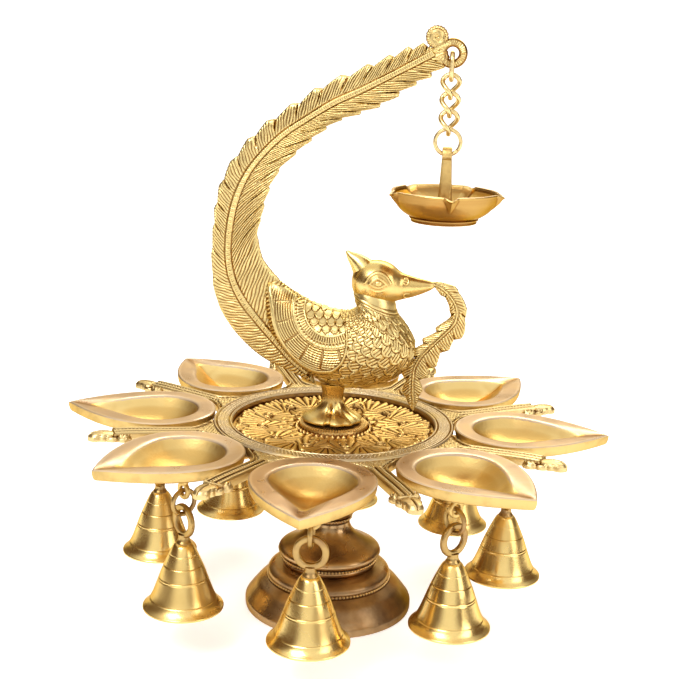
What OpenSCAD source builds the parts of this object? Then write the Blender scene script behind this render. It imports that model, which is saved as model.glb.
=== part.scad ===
// Brass peacock oil lamp of the samai kind: a turned pedestal carries a pierced plate with a ring of
// leaf-shaped oil dishes, a bell hangs under each dish, and a peacock stands on the plate. Its tail
// curls forward over its head and carries a small five-spouted oil bowl on a chain.
//
// Frame: origin at the middle of the base's underside, +Z up, the peacock looks along +X.
// Every dish, arm and bell is drawn along +X and then turned to its own angle round Z.

/* [Pedestal] */
// Radius of the foot of the base
base_r = 45.4; // [44.6:0.2:46]
// Height of the joint between the base and the stem
base_h = 24.5; // [24:0.5:25]
// Wall thickness of the hollow base
base_wall = 3; // [2.5:0.5:3.5]
// Radius of the rod that clamps the pedestal, the plate and the peacock together
rod_r = 2.5; // [2.4:0.1:2.6]

/* [Plate] */
// Height of the top face of the plate's ring
plate_z = 105; // [104.5:0.5:105.5]
// Outer radius of the plate's ring
ring_r = 64; // [63:0.5:64]
// Inner radius of the plate's ring, where the medallion drops in
ring_inner_r = 54; // [53:0.5:54]
// Thickness of the ring
ring_t = 6; // [5:0.5:6]
// Radius of the circle through the tips of the arms
arm_tip_r = 130; // [127:1:131]
// Width of each arm
arm_w = 9; // [8:0.5:9.5]

/* [Oil dishes] */
// Radius of the circle through the tips of the dishes
dish_tip_r = 145; // [142:1:146]
// Distance of the middle of the round end of each dish from the lamp's axis
dish_centre_r = 94.5; // [94.4:0.1:94.8]
// Half the width of each dish
dish_half_w = 30; // [29:0.1:30]
// Height of the rim of the dishes
dish_rim_z = 106.5; // [106:0.5:107]
// Radius of the mouth of the round hollow
hollow_r = 20.5; // [19:0.5:21]
// Depth of the round hollow
hollow_depth = 10; // [9:0.5:10.5]

/* [Bells] */
// Distance of the bells from the lamp's axis
bell_r = 94.4; // [94.2:0.1:94.8]
// Radius of the mouth of each bell
bell_mouth_r = 20.3; // [20:0.1:20.6]
// Wall thickness of each bell
bell_wall = 1.6; // [1.4:0.1:1.8]
// Radius of the wire of the hanging rings
wire_r = 1.2; // [1.1:0.05:1.25]
// Radius of the clapper's ball
clapper_ball_r = 3.4; // [3:0.1:3.6]

/* [Peacock] */
// Thickness of the tail
tail_t = 5; // [4.5:0.5:5.5]
// Thickness of the leaf garland that hangs from the beak
garland_t = 4.5; // [4:0.5:5]

/* [Chain and hanging bowl] */
// Radius of the wire of the chain's links
link_wire_r = 1.15; // [1.05:0.05:1.15]
// Radius of the mouth of the hanging bowl, between its spouts
bowl_r = 28; // [27.5:0.5:28.5]
// How far the spouts stand out past the mouth of the bowl
spout_out = 2.8; // [2:0.2:3]

/* [Hidden] */
$fn = 64;
DISHES = 8;
turn = 360 / DISHES;
first_angle = -90;
gap = 0.3;               // running clearance between a link and what it hangs on

// Pedestal and plate levels
medallion_z = plate_z - ring_t;
ledge_t = 3;
spigot_r = 15;
spigot_h = 6;
rod_hole_r = rod_r + 0.2;
foot_top_z = 122;
rod_bottom_z = 5.5;
rod_top_z = 139;
ceiling_z = base_h - spigot_h - 2.5;
washer_t = 1.2;
nut_h = 4;

// Dish and lug
dish_wall_h = 5.5;
hollow_sphere_r = (hollow_r * hollow_r + hollow_depth * hollow_depth) / (2 * hollow_depth);
hollow_centre_z = dish_rim_z - hollow_depth + hollow_sphere_r;
dish_wall = 2.4;
lug_r = 4.7;
lug_t = 2.2;
lug_hole_r = 2.25;
lug_w = 9.4;

// Bell hanging gear: the ring turns in the lug, and the bell's eye turns on the ring
ring_pivot_z = 85.6;
ring_mean_r = 6.2;
eye_pivot_z = ring_pivot_z - 2 * ring_mean_r;
eye_hole_r = 5.3;
eye_r = 8.8;
eye_t = 3;
eye_z = eye_pivot_z + wire_r + 0.5 - eye_hole_r;
crown_z = 58;
crown_hole_r = 2.6;
mouth_z = 24;
staple_wire_r = 0.8;
staple_r = 2.2;
staple_z = 54.5;
clapper_wire_r = 0.7;
clapper_ring_r = 2.4;
clapper_pivot_z = staple_z - staple_r;
clapper_ring_z = clapper_pivot_z + staple_wire_r + gap + clapper_wire_r - clapper_ring_r;
clapper_ball_z = 32;

// Peacock
foot_x = -1;
socket_depth = rod_top_z - foot_top_z;
loop_x = 52.5;
loop_z = 298.4;
loop_r = 7.6;
loop_hole_r = 3;
loop_t = 4;
curl_x = 44.6;
curl_z = 306.2;
curl_r = 5.8;
beak_tip_x = 50;

// Chain, from the tail's loop down: heights of the wire's centre at each link's top and bottom
top_link_len = 12.9;
link_len = 11.5;
link_r = 4.4;
top_link_r = 4.3;
link_step = 2 * link_wire_r + gap;
link_1_top = loop_z;
link_1_bottom = link_1_top - top_link_len;
link_2_top = link_1_bottom + link_step;
link_2_bottom = link_2_top - link_len;
link_3_top = link_2_bottom + link_step;
link_3_bottom = link_3_top - link_len;
link_4_top = link_3_bottom + link_step;
link_4_bottom = link_4_top - link_len;
split_wire_r = 1;
split_r = 6.4;
split_z = link_4_bottom + link_wire_r + gap + split_wire_r - split_r;
post_eye_z = split_z - split_r;
post_eye_r = 3.8;
post_eye_w = 5;
post_hole_r = 1.85;
bowl_rim_z = 230.5;
bowl_foot_z = 214.5;
SPOUTS = 5;

// ---- Curves ----

// A point at u (0 to 1) of the Catmull-Rom stretch from b to c, with neighbours a and d
function bend(a, b, c, d, u) =
    0.5 * (2 * b + (c - a) * u + (2 * a - 5 * b + 4 * c - d) * u * u
           + (3 * b - a - 3 * c + d) * u * u * u);

// A smooth open curve through the given points, with n steps from each point to the next
function smooth_line(points, n) = [
    for (i = [0 : len(points) - 2], k = [0 : n - 1])
        bend(points[max(i - 1, 0)], points[i], points[i + 1],
             points[min(i + 2, len(points) - 1)], k / n),
    points[len(points) - 1]
];

function reversed(list) = [for (i = [len(list) - 1 : -1 : 0]) list[i]];

// Turned shape about Z from a list of [radius, height]
module turned(profile) {
    rotate_extrude($fn = 96) polygon(profile);
}

// Flat shape drawn in X and Z, centred on the XZ plane, t thick in Y
module upright(t) {
    rotate([90, 0, 0]) linear_extrude(height = t, center = true) children();
}

module at_dish(i) {
    rotate([0, 0, first_angle + turn * (i - 1)]) children();
}

// Round wire ring in the XZ plane, centred at the origin
module wire_ring(mean_r, r) {
    rotate([90, 0, 0]) rotate_extrude() translate([mean_r, 0]) circle(r = r, $fn = 32);
}

// ---- Pedestal ----

module pedestal_base() {
    outside = concat(
        [[0, 0], [base_r - 0.6, 0], [base_r, 0.8], [base_r, 4.2], [base_r - 1, 5.4]],
        smooth_line([[base_r - 2.8, 8.2], [40, 11.2], [37.4, 13.8], [34.8, 15.8]], 3),
        smooth_line([[33.5, 16.4], [33.9, 17.4], [33.5, 18.4], [33.2, 19.6], [32.2, 21.4],
                     [29.5, 23.1], [25.6, 23.9], [25, base_h]], 3),
        [[0, base_h]]
    );
    inside = [[0, -1], [base_r - base_wall, -1], [base_r - base_wall, 3], [37, 7],
              [34, 10], [30, 12], [26, ceiling_z], [0, ceiling_z]];
    color("#7a5523") difference() {
        turned(outside);
        turned(inside);
        translate([0, 0, base_h - spigot_h]) cylinder(r = spigot_r, h = spigot_h + 1);
        cylinder(r = rod_hole_r, h = base_h);
    }
}

module pedestal_stem() {
    profile = concat(
        [[0, base_h - spigot_h], [spigot_r, base_h - spigot_h], [spigot_r, base_h]],
        [[24.4, base_h], [25.8, 26.4], [26, 27.6], [26.8, 28.4], [26.3, 29.4], [27.5, 30.6],
         [27.9, 32], [27.2, 33.4]],
        smooth_line([[25.6, 34.6], [20.6, 37], [15.8, 40.2], [12.6, 43.4], [11, 46.4],
                     [10.5, 49.4]], 2),
        [[11.5, 50], [11.8, 51.2], [11.4, 52.2]],
        smooth_line([[12.4, 53], [14.6, 57], [15.4, 61], [13.6, 65], [10.6, 68], [9.8, 72],
                     [11.6, 79], [15.4, 86], [21.6, 92], [29, 95.4]], 2),
        [[30, 96.4], [30, medallion_z], [0, medallion_z]]
    );
    color("#86602a") difference() {
        turned(profile);
        translate([0, 0, base_h - spigot_h - 1]) cylinder(r = rod_hole_r, h = medallion_z);
    }
}

module tie_rod() {
    color("#8d7a55") translate([0, 0, rod_bottom_z])
        cylinder(r = rod_r, h = rod_top_z - rod_bottom_z);
}

module washer() {
    color("#8d7a55") translate([0, 0, ceiling_z - washer_t]) difference() {
        cylinder(r = 8, h = washer_t);
        translate([0, 0, -1]) cylinder(r = rod_hole_r, h = washer_t + 2);
    }
}

module nut() {
    color("#8d7a55") translate([0, 0, ceiling_z - washer_t - nut_h]) difference() {
        cylinder(r = 5.2, h = nut_h, $fn = 6);
        translate([0, 0, -1]) cylinder(r = rod_r, h = nut_h + 2);
    }
}

// ---- Plate ----

// One arm with its lobed end, drawn along +X
module plate_arm() {
    arm_t = ring_t - 1;
    lobe_r = arm_tip_r - 9;
    translate([0, 0, medallion_z + 0.5]) {
        translate([ring_r - 4, -arm_w / 2, 0]) cube([lobe_r - ring_r + 4, arm_w, arm_t]);
        for (side = [-1, 1]) translate([lobe_r, side * 6, 0]) cylinder(r = 4.6, h = arm_t);
        translate([arm_tip_r - 5.5, 0, 0]) cylinder(r = 5.5, h = arm_t);
    }
}

module plate_ring() {
    section = [
        [ring_inner_r, plate_z], [ring_r, plate_z], [ring_r, medallion_z],
        [ring_inner_r + 1.8, medallion_z], [ring_inner_r + 1.8, medallion_z - ledge_t],
        [ring_inner_r - 8, medallion_z - ledge_t], [ring_inner_r - 8, medallion_z],
        [ring_inner_r, medallion_z]
    ];
    color("#c79a4b") union() {
        turned(section);
        for (i = [1 : DISHES]) rotate([0, 0, turn / 2]) at_dish(i) plate_arm();
    }
}

module medallion() {
    edge = ring_inner_r - 0.2;
    profile = [
        [rod_hole_r, medallion_z], [edge, medallion_z], [edge, medallion_z + 4],
        [edge - 3, medallion_z + 4], [edge - 5, medallion_z + 2], [32, medallion_z + 2],
        [24, medallion_z + 3.6], [20.5, medallion_z + 5.6], [19.6, medallion_z + 6.6],
        [rod_hole_r, medallion_z + 6.6]
    ];
    color("#b98d3f") turned(profile);
}

// ---- Oil dishes ----

// Leaf outline: a half circle on the inside, two bowed sides that meet at the tip
function dish_outline() =
    let (n = 14, reach = dish_tip_r - dish_centre_r, fullness = 1.9)
    concat(
        [for (a = [90 : 10 : 270]) [dish_centre_r, 0] + dish_half_w * [cos(a), sin(a)]],
        [for (k = [1 : n]) [dish_centre_r + reach * k / n,
                            -dish_half_w * (1 - pow(k / n, fullness))]],
        [for (k = [n - 1 : -1 : 1]) [dish_centre_r + reach * k / n,
                                     dish_half_w * (1 - pow(k / n, fullness))]]
    );

// Lug under the dish that the bell's ring hangs through; its hole runs along the radius
module dish_lug() {
    translate([bell_r - lug_t / 2, 0, ring_pivot_z]) {
        rotate([0, 90, 0]) cylinder(r = lug_r, h = lug_t);
        translate([0, -lug_w / 2, 0]) cube([lug_t, lug_w, dish_rim_z - dish_wall_h - ring_pivot_z]);
    }
}

// Tab that runs in under the plate's ring and is brazed to it
module dish_tab() {
    tab_w = 14;
    top = medallion_z;
    translate([0, tab_w / 2, 0]) rotate([90, 0, 0]) linear_extrude(height = tab_w)
        polygon([[57, top - 2.2], [78, top - 2.2], [78, dish_rim_z - 4], [ring_r + 0.7, dish_rim_z - 4],
                 [ring_r + 0.7, top], [57, top]]);
}

module dish_hollow() {
    translate([dish_centre_r, 0, hollow_centre_z]) sphere(r = hollow_sphere_r, $fn = 96);
    // channel for the wick, from the hollow out to the tip
    translate([dish_centre_r + 10, 0, dish_rim_z + 4]) rotate([0, 90, 0])
        cylinder(r = 7.2, h = dish_tip_r);
}

module dish(i) {
    color("#d0a044") at_dish(i) difference() {
        union() {
            translate([0, 0, dish_rim_z - dish_wall_h])
                linear_extrude(height = dish_wall_h) polygon(dish_outline());
            difference() {
                translate([dish_centre_r, 0, hollow_centre_z])
                    sphere(r = hollow_sphere_r + dish_wall, $fn = 96);
                translate([0, -100, dish_rim_z - dish_wall_h + 0.5]) cube([200, 200, 100]);
            }
            dish_lug();
            dish_tab();
        }
        dish_hollow();
        translate([bell_r - 10, 0, ring_pivot_z]) rotate([0, 90, 0])
            cylinder(r = lug_hole_r, h = 20);
    }
}

// ---- Bells ----

module hanging_ring(i) {
    color("#b8904a") at_dish(i)
        translate([bell_r, 0, ring_pivot_z - ring_mean_r]) wire_ring(ring_mean_r, wire_r);
}

// Outside of the bell, from the crown down to the mouth
function bell_outside() = concat(
    [[4.6, crown_z], [5.4, crown_z - 0.8]],
    smooth_line([[6, 56], [7.7, 50.6], [11.2, 43.5], [13, 36.5], [15, 30.5], [17, 27.4],
                 [19.2, 25.3], [bell_mouth_r, mouth_z + 0.8]], 2),
    [[bell_mouth_r, mouth_z]]
);

module bell(i) {
    outside = bell_outside();
    inside = [for (p = outside) if (p[1] < crown_z - 2) p - [bell_wall, 0]];
    top_inside = crown_z - 2;
    color("#c99f45") at_dish(i) translate([bell_r, 0, 0])
        turned(concat(
            [[crown_hole_r, crown_z]], outside, reversed(inside),
            [[inside[0][0], top_inside], [crown_hole_r, top_inside]]
        ));
}

// Cast eye: a flat ring above the bell, a shank through the crown and a staple inside
module bell_eye(i) {
    shank_r = crown_hole_r - 0.1;
    color("#b18a45") at_dish(i) translate([bell_r, 0, 0]) {
        difference() {
            union() {
                translate([-eye_t / 2, 0, eye_z]) rotate([0, 90, 0]) cylinder(r = eye_r, h = eye_t);
                translate([0, 0, crown_z]) cylinder(r1 = 3.8, r2 = 2.4, h = 4.8);
                translate([0, 0, staple_z + staple_r]) cylinder(r = shank_r, h = 6);
            }
            translate([-eye_t, 0, eye_z]) rotate([0, 90, 0]) cylinder(r = eye_hole_r, h = 2 * eye_t);
        }
        translate([0, 0, staple_z]) rotate([0, 0, 90]) wire_ring(staple_r, staple_wire_r);
    }
}

module clapper(i) {
    rod_top = clapper_ring_z - clapper_ring_r;
    color("#8f6c33") at_dish(i) translate([bell_r, 0, 0]) {
        translate([0, 0, clapper_ring_z]) wire_ring(clapper_ring_r, clapper_wire_r);
        translate([0, 0, clapper_ball_z]) cylinder(r = 0.9, h = rod_top - clapper_ball_z);
        translate([0, 0, clapper_ball_z]) sphere(r = clapper_ball_r, $fn = 48);
    }
}

// ---- Peacock ----

// Outer and inner edge of the tail, from the rump up and over to the loop
TAIL_OUTER = [[-12, 126], [-26, 132], [-40, 138], [-52, 148], [-61, 160], [-65.5, 173], [-67, 190],
              [-66, 206], [-64.5, 220], [-59, 237], [-49, 252], [-34, 264], [-18, 277],
              [0, 286], [16, 293.5], [30, 299.5], [41, 302]];
TAIL_INNER = [[6, 160], [-9, 166.5], [-22, 173], [-33, 182], [-40, 191], [-43, 203], [-40, 217],
              [-36, 231], [-27, 243], [-15, 255], [-1, 264], [14, 270], [28, 278],
              [40, 286], [48, 292.5]];

module peacock_foot() {
    profile = concat(
        [[0, plate_z + 0.6], [18, plate_z + 0.6], [18.4, plate_z + 1.6], [17.6, plate_z + 2.6]],
        smooth_line([[16, 108.4], [12, 110.4], [8.6, 113.4], [6.4, 117], [5.6, foot_top_z]], 3),
        [[0, foot_top_z]]
    );
    color("#cda24c") difference() {
        translate([foot_x, 0, 0]) turned(profile);
        translate([0, 0, plate_z]) cylinder(r = rod_hole_r, h = 20);
    }
}

// One side's folded wing: a shallow pad on the flank
module wing(side) {
    translate([0, side * 14, 0]) hull() {
        translate([-4, 0, 158]) scale([1, 0.4, 1]) sphere(r = 12, $fn = 32);
        translate([-28, -side * 4, 160]) scale([1, 0.4, 1]) sphere(r = 10, $fn = 32);
    }
}

module torso() {
    hull() {
        translate([17, 0, 147]) scale([1.12, 0.8, 1]) sphere(r = 22, $fn = 32);
        translate([-14, 0, 150]) scale([1, 0.9, 1]) sphere(r = 18, $fn = 32);
        translate([-30, 0, 155]) scale([1, 0.8, 1]) sphere(r = 11, $fn = 32);
    }
    hull() {
        translate([20, 0, 158]) scale([1, 0.9, 1]) sphere(r = 15.5, $fn = 32);
        translate([19.6, 0, 180.4]) scale([1, 0.9, 1]) sphere(r = 12.2, $fn = 32);
    }
}

module head() {
    hull() {
        translate([24, 0, 181]) scale([1, 0.8, 1]) sphere(r = 9.4, $fn = 32);
        translate([36, 0, 180.6]) scale([1, 0.7, 1]) sphere(r = 5.2, $fn = 32);
        translate([beak_tip_x - 2, 0, 181.6]) sphere(r = 2, $fn = 32);
    }
    hull() {
        translate([10, 0, 190]) scale([1, 0.5, 1]) sphere(r = 4, $fn = 32);
        translate([4.6, 0, 195.4]) scale([1, 0.6, 1]) sphere(r = 1.8, $fn = 32);
    }
}

module tail_outline() {
    polygon(concat(smooth_line(TAIL_OUTER, 3), reversed(smooth_line(TAIL_INNER, 3))));
}

module peacock_body() {
    color("#cfa650") difference() {
        union() {
            torso();
            wing(-1);
            wing(1);
            head();
            translate([foot_x, 0, foot_top_z]) cylinder(r = 5.6, h = 8);
        }
        upright(tail_t) tail_outline();
        translate([0, 0, foot_top_z - 1]) cylinder(r = rod_r, h = socket_depth + 1);
    }
}

module peacock_tail() {
    color("#c79f48") difference() {
        union() {
            upright(tail_t) tail_outline();
            upright(loop_t) translate([loop_x, loop_z]) circle(r = loop_r);
            upright(loop_t) translate([curl_x, curl_z]) circle(r = curl_r);
        }
        translate([loop_x, tail_t, loop_z]) rotate([90, 0, 0]) cylinder(r = loop_hole_r, h = 2 * tail_t);
        cylinder(r = rod_r + 1, h = rod_top_z + 2);
        // room for the top link's sides where the tail is thicker than its loop
        for (side = [-1, 1]) translate([loop_x - 3, side * (loop_t / 2 + 2) - 2, loop_z - 12])
            cube([12, 4, 16]);
    }
}

// Edges of the leaf spray that falls from the beak past the breast
GARLAND_OUTER = [[50, 184], [58, 183], [64, 178], [67, 170], [67.5, 161], [64, 153], [59, 144],
                 [51, 137], [46, 130], [44.5, 121], [42, 115.5]];
GARLAND_INNER = [[50, 178.5], [56, 173], [58.5, 167], [53, 159], [48, 152], [42, 146], [37.5, 139],
                 [36, 130], [36.5, 121], [40.5, 115.5]];

module garland() {
    color("#d2a955") difference() {
        upright(garland_t)
            polygon(concat(smooth_line(GARLAND_OUTER, 3), reversed(smooth_line(GARLAND_INNER, 3))));
        torso();
        head();
    }
}

// ---- Chain and hanging bowl ----

// Plain link in the YZ plane: two half rings and two straight sides
module top_link() {
    straight = top_link_len - 2 * top_link_r;
    color("#b8985a") translate([loop_x, 0, link_1_top - top_link_r]) {
        rotate([90, 0, 90]) rotate_extrude(angle = 180)
            translate([top_link_r, 0]) circle(r = link_wire_r, $fn = 32);
        translate([0, 0, -straight]) rotate([90, 180, 90]) rotate_extrude(angle = 180)
            translate([top_link_r, 0]) circle(r = link_wire_r, $fn = 32);
        for (side = [-1, 1]) translate([0, side * top_link_r, -straight])
            cylinder(r = link_wire_r, h = straight, $fn = 32);
    }
}

// Twisted link: its top half ring lies in the XZ plane and its bottom one in the YZ plane
module twisted_link(top_z) {
    bottom_z = top_z - link_len;
    drop = link_len - 2 * link_r;
    lean = link_r * sqrt(2);
    side_len = sqrt(drop * drop + lean * lean);
    color("#c2a057") translate([loop_x, 0, 0]) {
        translate([0, 0, top_z - link_r]) rotate([90, 0, 0]) rotate_extrude(angle = 180)
            translate([link_r, 0]) circle(r = link_wire_r, $fn = 32);
        translate([0, 0, bottom_z + link_r]) rotate([90, 180, 90]) rotate_extrude(angle = 180)
            translate([link_r, 0]) circle(r = link_wire_r, $fn = 32);
        for (half = [0, 180]) rotate([0, 0, half]) {
            translate([link_r, 0, top_z - link_r]) rotate([0, 0, 135])
                rotate([0, 90 + atan2(drop, lean), 0])
                    cylinder(r = link_wire_r * 0.98, h = side_len, $fn = 32);
            translate([link_r, 0, top_z - link_r]) sphere(r = link_wire_r * 1.03, $fn = 32);
            translate([0, link_r, bottom_z + link_r]) sphere(r = link_wire_r * 1.03, $fn = 32);
        }
    }
}

// Ring of bent wire with a small open joint at its lower right
module split_ring() {
    color("#b7a070") translate([loop_x, 0, split_z]) difference() {
        wire_ring(split_r, split_wire_r);
        rotate([0, 40, 0]) translate([split_r - 2, -2, 0]) cube([4, 4, 0.4]);
    }
}

// Mouth of the hanging bowl: round, with five pinched spouts
function bowl_outline(r) = [
    for (a = [0 : 3 : 357]) (r + spout_out * pow(abs(cos(a * SPOUTS / 2)), 10)) * [cos(a), sin(a)]
];

module hanging_bowl() {
    outside = concat(
        [[0, bowl_foot_z], [16.4, bowl_foot_z], [16.4, 215.8], [18, 216], [18, 217.2]],
        smooth_line([[17.2, 217.4], [21.5, 220.4], [25, 224.2], [26.6, 227]], 3),
        [[0, 227]]
    );
    inside = concat(
        smooth_line([[0, 218], [10, 218.6], [18, 221], [23, 225], [bowl_r - 1.6, bowl_rim_z + 1]], 3),
        [[0, bowl_rim_z + 1]]
    );
    color("#cf9d3e") translate([loop_x, 0, 0]) difference() {
        union() {
            difference() {
                union() {
                    turned(outside);
                    translate([0, 0, 226]) rotate([0, 0, 6])
                        linear_extrude(height = bowl_rim_z - 226) polygon(bowl_outline(bowl_r));
                }
                turned(inside);
                for (k = [0 : SPOUTS - 1]) rotate([0, 0, 6 + k * 360 / SPOUTS])
                    translate([18, 0, bowl_rim_z + 0.6]) rotate([0, 90, 0]) cylinder(r = 2.4, h = 20);
            }
            translate([0, 0, 216]) cylinder(r1 = 4, r2 = 2.9, h = post_eye_z - 216);
            translate([-post_eye_w / 2, 0, post_eye_z]) rotate([0, 90, 0])
                cylinder(r = post_eye_r, h = post_eye_w);
        }
        translate([-10, 0, post_eye_z]) rotate([0, 90, 0]) cylinder(r = post_hole_r, h = 20);
    }
}

// ---- Nodes ----

pedestal_base();
pedestal_stem();
tie_rod();
washer();
nut();
plate_ring();
medallion();
peacock_foot();
peacock_body();
peacock_tail();
garland();
for (i = [1 : DISHES]) {
    dish(i);
    hanging_ring(i);
    bell(i);
    bell_eye(i);
    clapper(i);
}
top_link();
twisted_link(link_2_top);  // link_2
twisted_link(link_3_top);  // link_3
twisted_link(link_4_top);  // link_4
split_ring();
hanging_bowl();
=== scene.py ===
"""Looks of the brass peacock oil lamp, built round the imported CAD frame.

Lengths in this script are in millimetres and become metres when a mesh is made. The frame is the
CAD's: origin at the middle of the base's underside, +Z up, and the peacock looks along +X.
Every dish, arm and bell is drawn along +X and then turned to its own angle round Z.
"""

import math

import bpy
import numpy as np
from mathutils import Matrix, Vector

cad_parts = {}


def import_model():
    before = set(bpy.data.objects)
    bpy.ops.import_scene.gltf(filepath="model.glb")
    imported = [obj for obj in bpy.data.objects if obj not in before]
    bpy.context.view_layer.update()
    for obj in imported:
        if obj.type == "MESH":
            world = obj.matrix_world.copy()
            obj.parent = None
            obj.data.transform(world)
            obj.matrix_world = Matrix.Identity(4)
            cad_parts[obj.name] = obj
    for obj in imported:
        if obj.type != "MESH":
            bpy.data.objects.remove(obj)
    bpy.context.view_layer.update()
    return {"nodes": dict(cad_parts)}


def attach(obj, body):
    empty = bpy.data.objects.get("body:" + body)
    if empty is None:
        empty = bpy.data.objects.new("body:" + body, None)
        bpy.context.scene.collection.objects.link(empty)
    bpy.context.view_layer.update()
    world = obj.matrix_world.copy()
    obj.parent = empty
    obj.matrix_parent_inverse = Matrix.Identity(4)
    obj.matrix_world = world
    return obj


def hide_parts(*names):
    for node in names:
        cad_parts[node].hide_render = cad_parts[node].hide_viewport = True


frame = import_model()

MM = 0.001
DISHES = 8
TURN = 360 / DISHES
FIRST_ANGLE = -90
PI = math.pi


# ---- curves and skins

def round_angles(count):
    """Evenly spaced angles of a whole turn."""
    return np.arange(count) * 2 * PI / count


def unit_circle(count):
    """Evenly spaced points of a circle of radius 1."""
    a = round_angles(count)
    return np.stack([np.cos(a), np.sin(a)], -1)


def smooth_line(points, steps):
    """Catmull-Rom curve through the points, with so many steps from each point to the next."""
    p = np.array(points, float)
    ends = np.vstack([p[:1], p, p[-1:]])
    out = []
    for i in range(len(p) - 1):
        a, b, c, d = ends[i:i + 4]
        u = (np.arange(steps) / steps)[:, None]
        out.append(0.5 * (2 * b + (c - a) * u + (2 * a - 5 * b + 4 * c - d) * u ** 2
                          + (3 * b - a - 3 * c + d) * u ** 3))
    out.append(p[-1:])
    return np.vstack(out)


def run_length(line):
    """Distance run along a line at each of its points."""
    return np.concatenate([[0], np.cumsum(np.linalg.norm(np.diff(line, axis=0), axis=1))])


def sampled(line, along, want):
    """The points of a line at the wanted distances along it."""
    return np.stack([np.interp(want, along, column) for column in line.T], 1)


def resampled_loop(line, count):
    """The same closed curve with evenly spaced points."""
    line = np.vstack([line, line[:1]])
    along = run_length(line)
    return sampled(line, along, np.linspace(0, along[-1], count + 1)[:-1])


def ease(value, low, high):
    """Smooth step from 0 at low to 1 at high."""
    t = np.clip((value - low) / (high - low), 0, 1)
    return t * t * (3 - 2 * t)


def blunt(wave, power):
    """Bends a wave from -1 to 1 by a power and keeps its sign, so that a circle gets corners."""
    return np.sign(wave) * np.abs(wave) ** power


def level(flat, height):
    """Points of the XY plane with their heights, or one height for all of them."""
    return np.concatenate([flat, np.broadcast_to(height, flat.shape[:-1])[..., None]], -1)


def ridge(distance, half_width):
    """A rounded ridge: 1 on its middle line, 0 from its edge on."""
    return np.sqrt(np.clip(1 - (distance / half_width) ** 2, 0, 1))


def line_distance(x, z, points):
    """Distance of each place from a smooth line through some points in the same plane."""
    line = smooth_line(points, 6)
    best = np.full(np.shape(x), 1e9)
    for (ax, az), (bx, bz) in zip(line[:-1], line[1:]):
        dx, dz = bx - ax, bz - az
        t = np.clip(((x - ax) * dx + (z - az) * dz) / (dx * dx + dz * dz), 0, 1)
        best = np.minimum(best, np.hypot(x - ax - t * dx, z - az - t * dz))
    return best


def grid_faces(rows, columns, wrap_rows, wrap_columns):
    """Quads between the points of a grid, which may wrap round either way."""
    i = np.arange(rows if wrap_rows else rows - 1)[:, None]
    j = np.arange(columns if wrap_columns else columns - 1)[None, :]
    i2, j2 = (i + 1) % rows, (j + 1) % columns
    quads = [i * columns + j, i * columns + j2, i2 * columns + j2, i2 * columns + j]
    return np.stack([np.broadcast_to(q, (i.size, j.size)) for q in quads], -1).reshape(-1, 4)


def fan_faces(ring, centre):
    """Triangles from a ring of points to one point."""
    return np.stack([ring, np.roll(ring, -1), np.full(len(ring), centre)], 1)


class Shape:
    """Vertices and faces of one piece, gathered part by part, each turned outside out."""

    def __init__(self):
        self.points, self.faces, self.count = [], [], 0

    def add(self, points, faces):
        """Adds closed skin, with its faces turned round if they look inwards."""
        volume = 0.0
        for f in faces:
            for k in range(1, f.shape[1] - 1):
                volume += np.einsum("ij,ij->", points[f[:, 0]],
                                    np.cross(points[f[:, k]], points[f[:, k + 1]]))
        if volume < 0:
            faces = [f[:, ::-1] for f in faces]
        self.points.append(points)
        self.faces += [f + self.count for f in faces]
        self.count += len(points)

    def join(self, other):
        self.points += other.points
        self.faces += [f + self.count for f in other.faces]
        self.count += other.count

    def moved(self, change):
        """A copy with every point passed through a function."""
        other = Shape()
        other.points = [change(p) for p in self.points]
        other.faces, other.count = self.faces, self.count
        return other

    def turned(self, degrees):
        """A copy turned about the Z axis."""
        c, s = math.cos(math.radians(degrees)), math.sin(math.radians(degrees))
        return self.moved(lambda p: p @ np.array([[c, s, 0], [-s, c, 0], [0, 0, 1.0]]))


def loft(shape, rings, closed=False):
    """Skins an array (rows, ring points, 3). An open skin is capped at both ends."""
    rows, count, _ = rings.shape
    points = rings.reshape(-1, 3)
    faces = [grid_faces(rows, count, closed, True)]
    if not closed:
        points = np.vstack([points, rings[0].mean(0), rings[-1].mean(0)])
        ring = np.arange(count)
        faces.append(np.vstack([fan_faces(ring[::-1], rows * count),
                                fan_faces(ring + (rows - 1) * count, rows * count + 1)]))
    shape.add(points, faces)


def lathe(shape, profile, sides=96, centre=(0, 0), closed=False, push=None):
    """Revolves a list of (radius, height). push(angle, radius, height) gives extra radius."""
    p = np.array(profile, float)
    angle = round_angles(sides)
    r, a = np.broadcast_arrays(p[:, :1], angle[None, :])
    z = np.broadcast_to(p[:, 1:2], r.shape)
    if push is not None:
        r = r + push(a, r, z)
    loft(shape, np.stack([centre[0] + r * np.cos(a), centre[1] + r * np.sin(a), z], -1), closed)


def ball(shape, centre, radius, sides=24):
    turn = np.linspace(0, PI, sides // 2 + 1)[1:-1]
    profile = np.stack([radius * np.sin(turn), centre[2] - radius * np.cos(turn)], 1)
    lathe(shape, profile, sides, centre[:2])


def beads(shape, radius, height, count, size):
    """A ring of small round beads about the Z axis."""
    for k in range(count):
        a = 2 * PI * k / count
        ball(shape, (radius * math.cos(a), radius * math.sin(a), height), size, 8)


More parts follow.
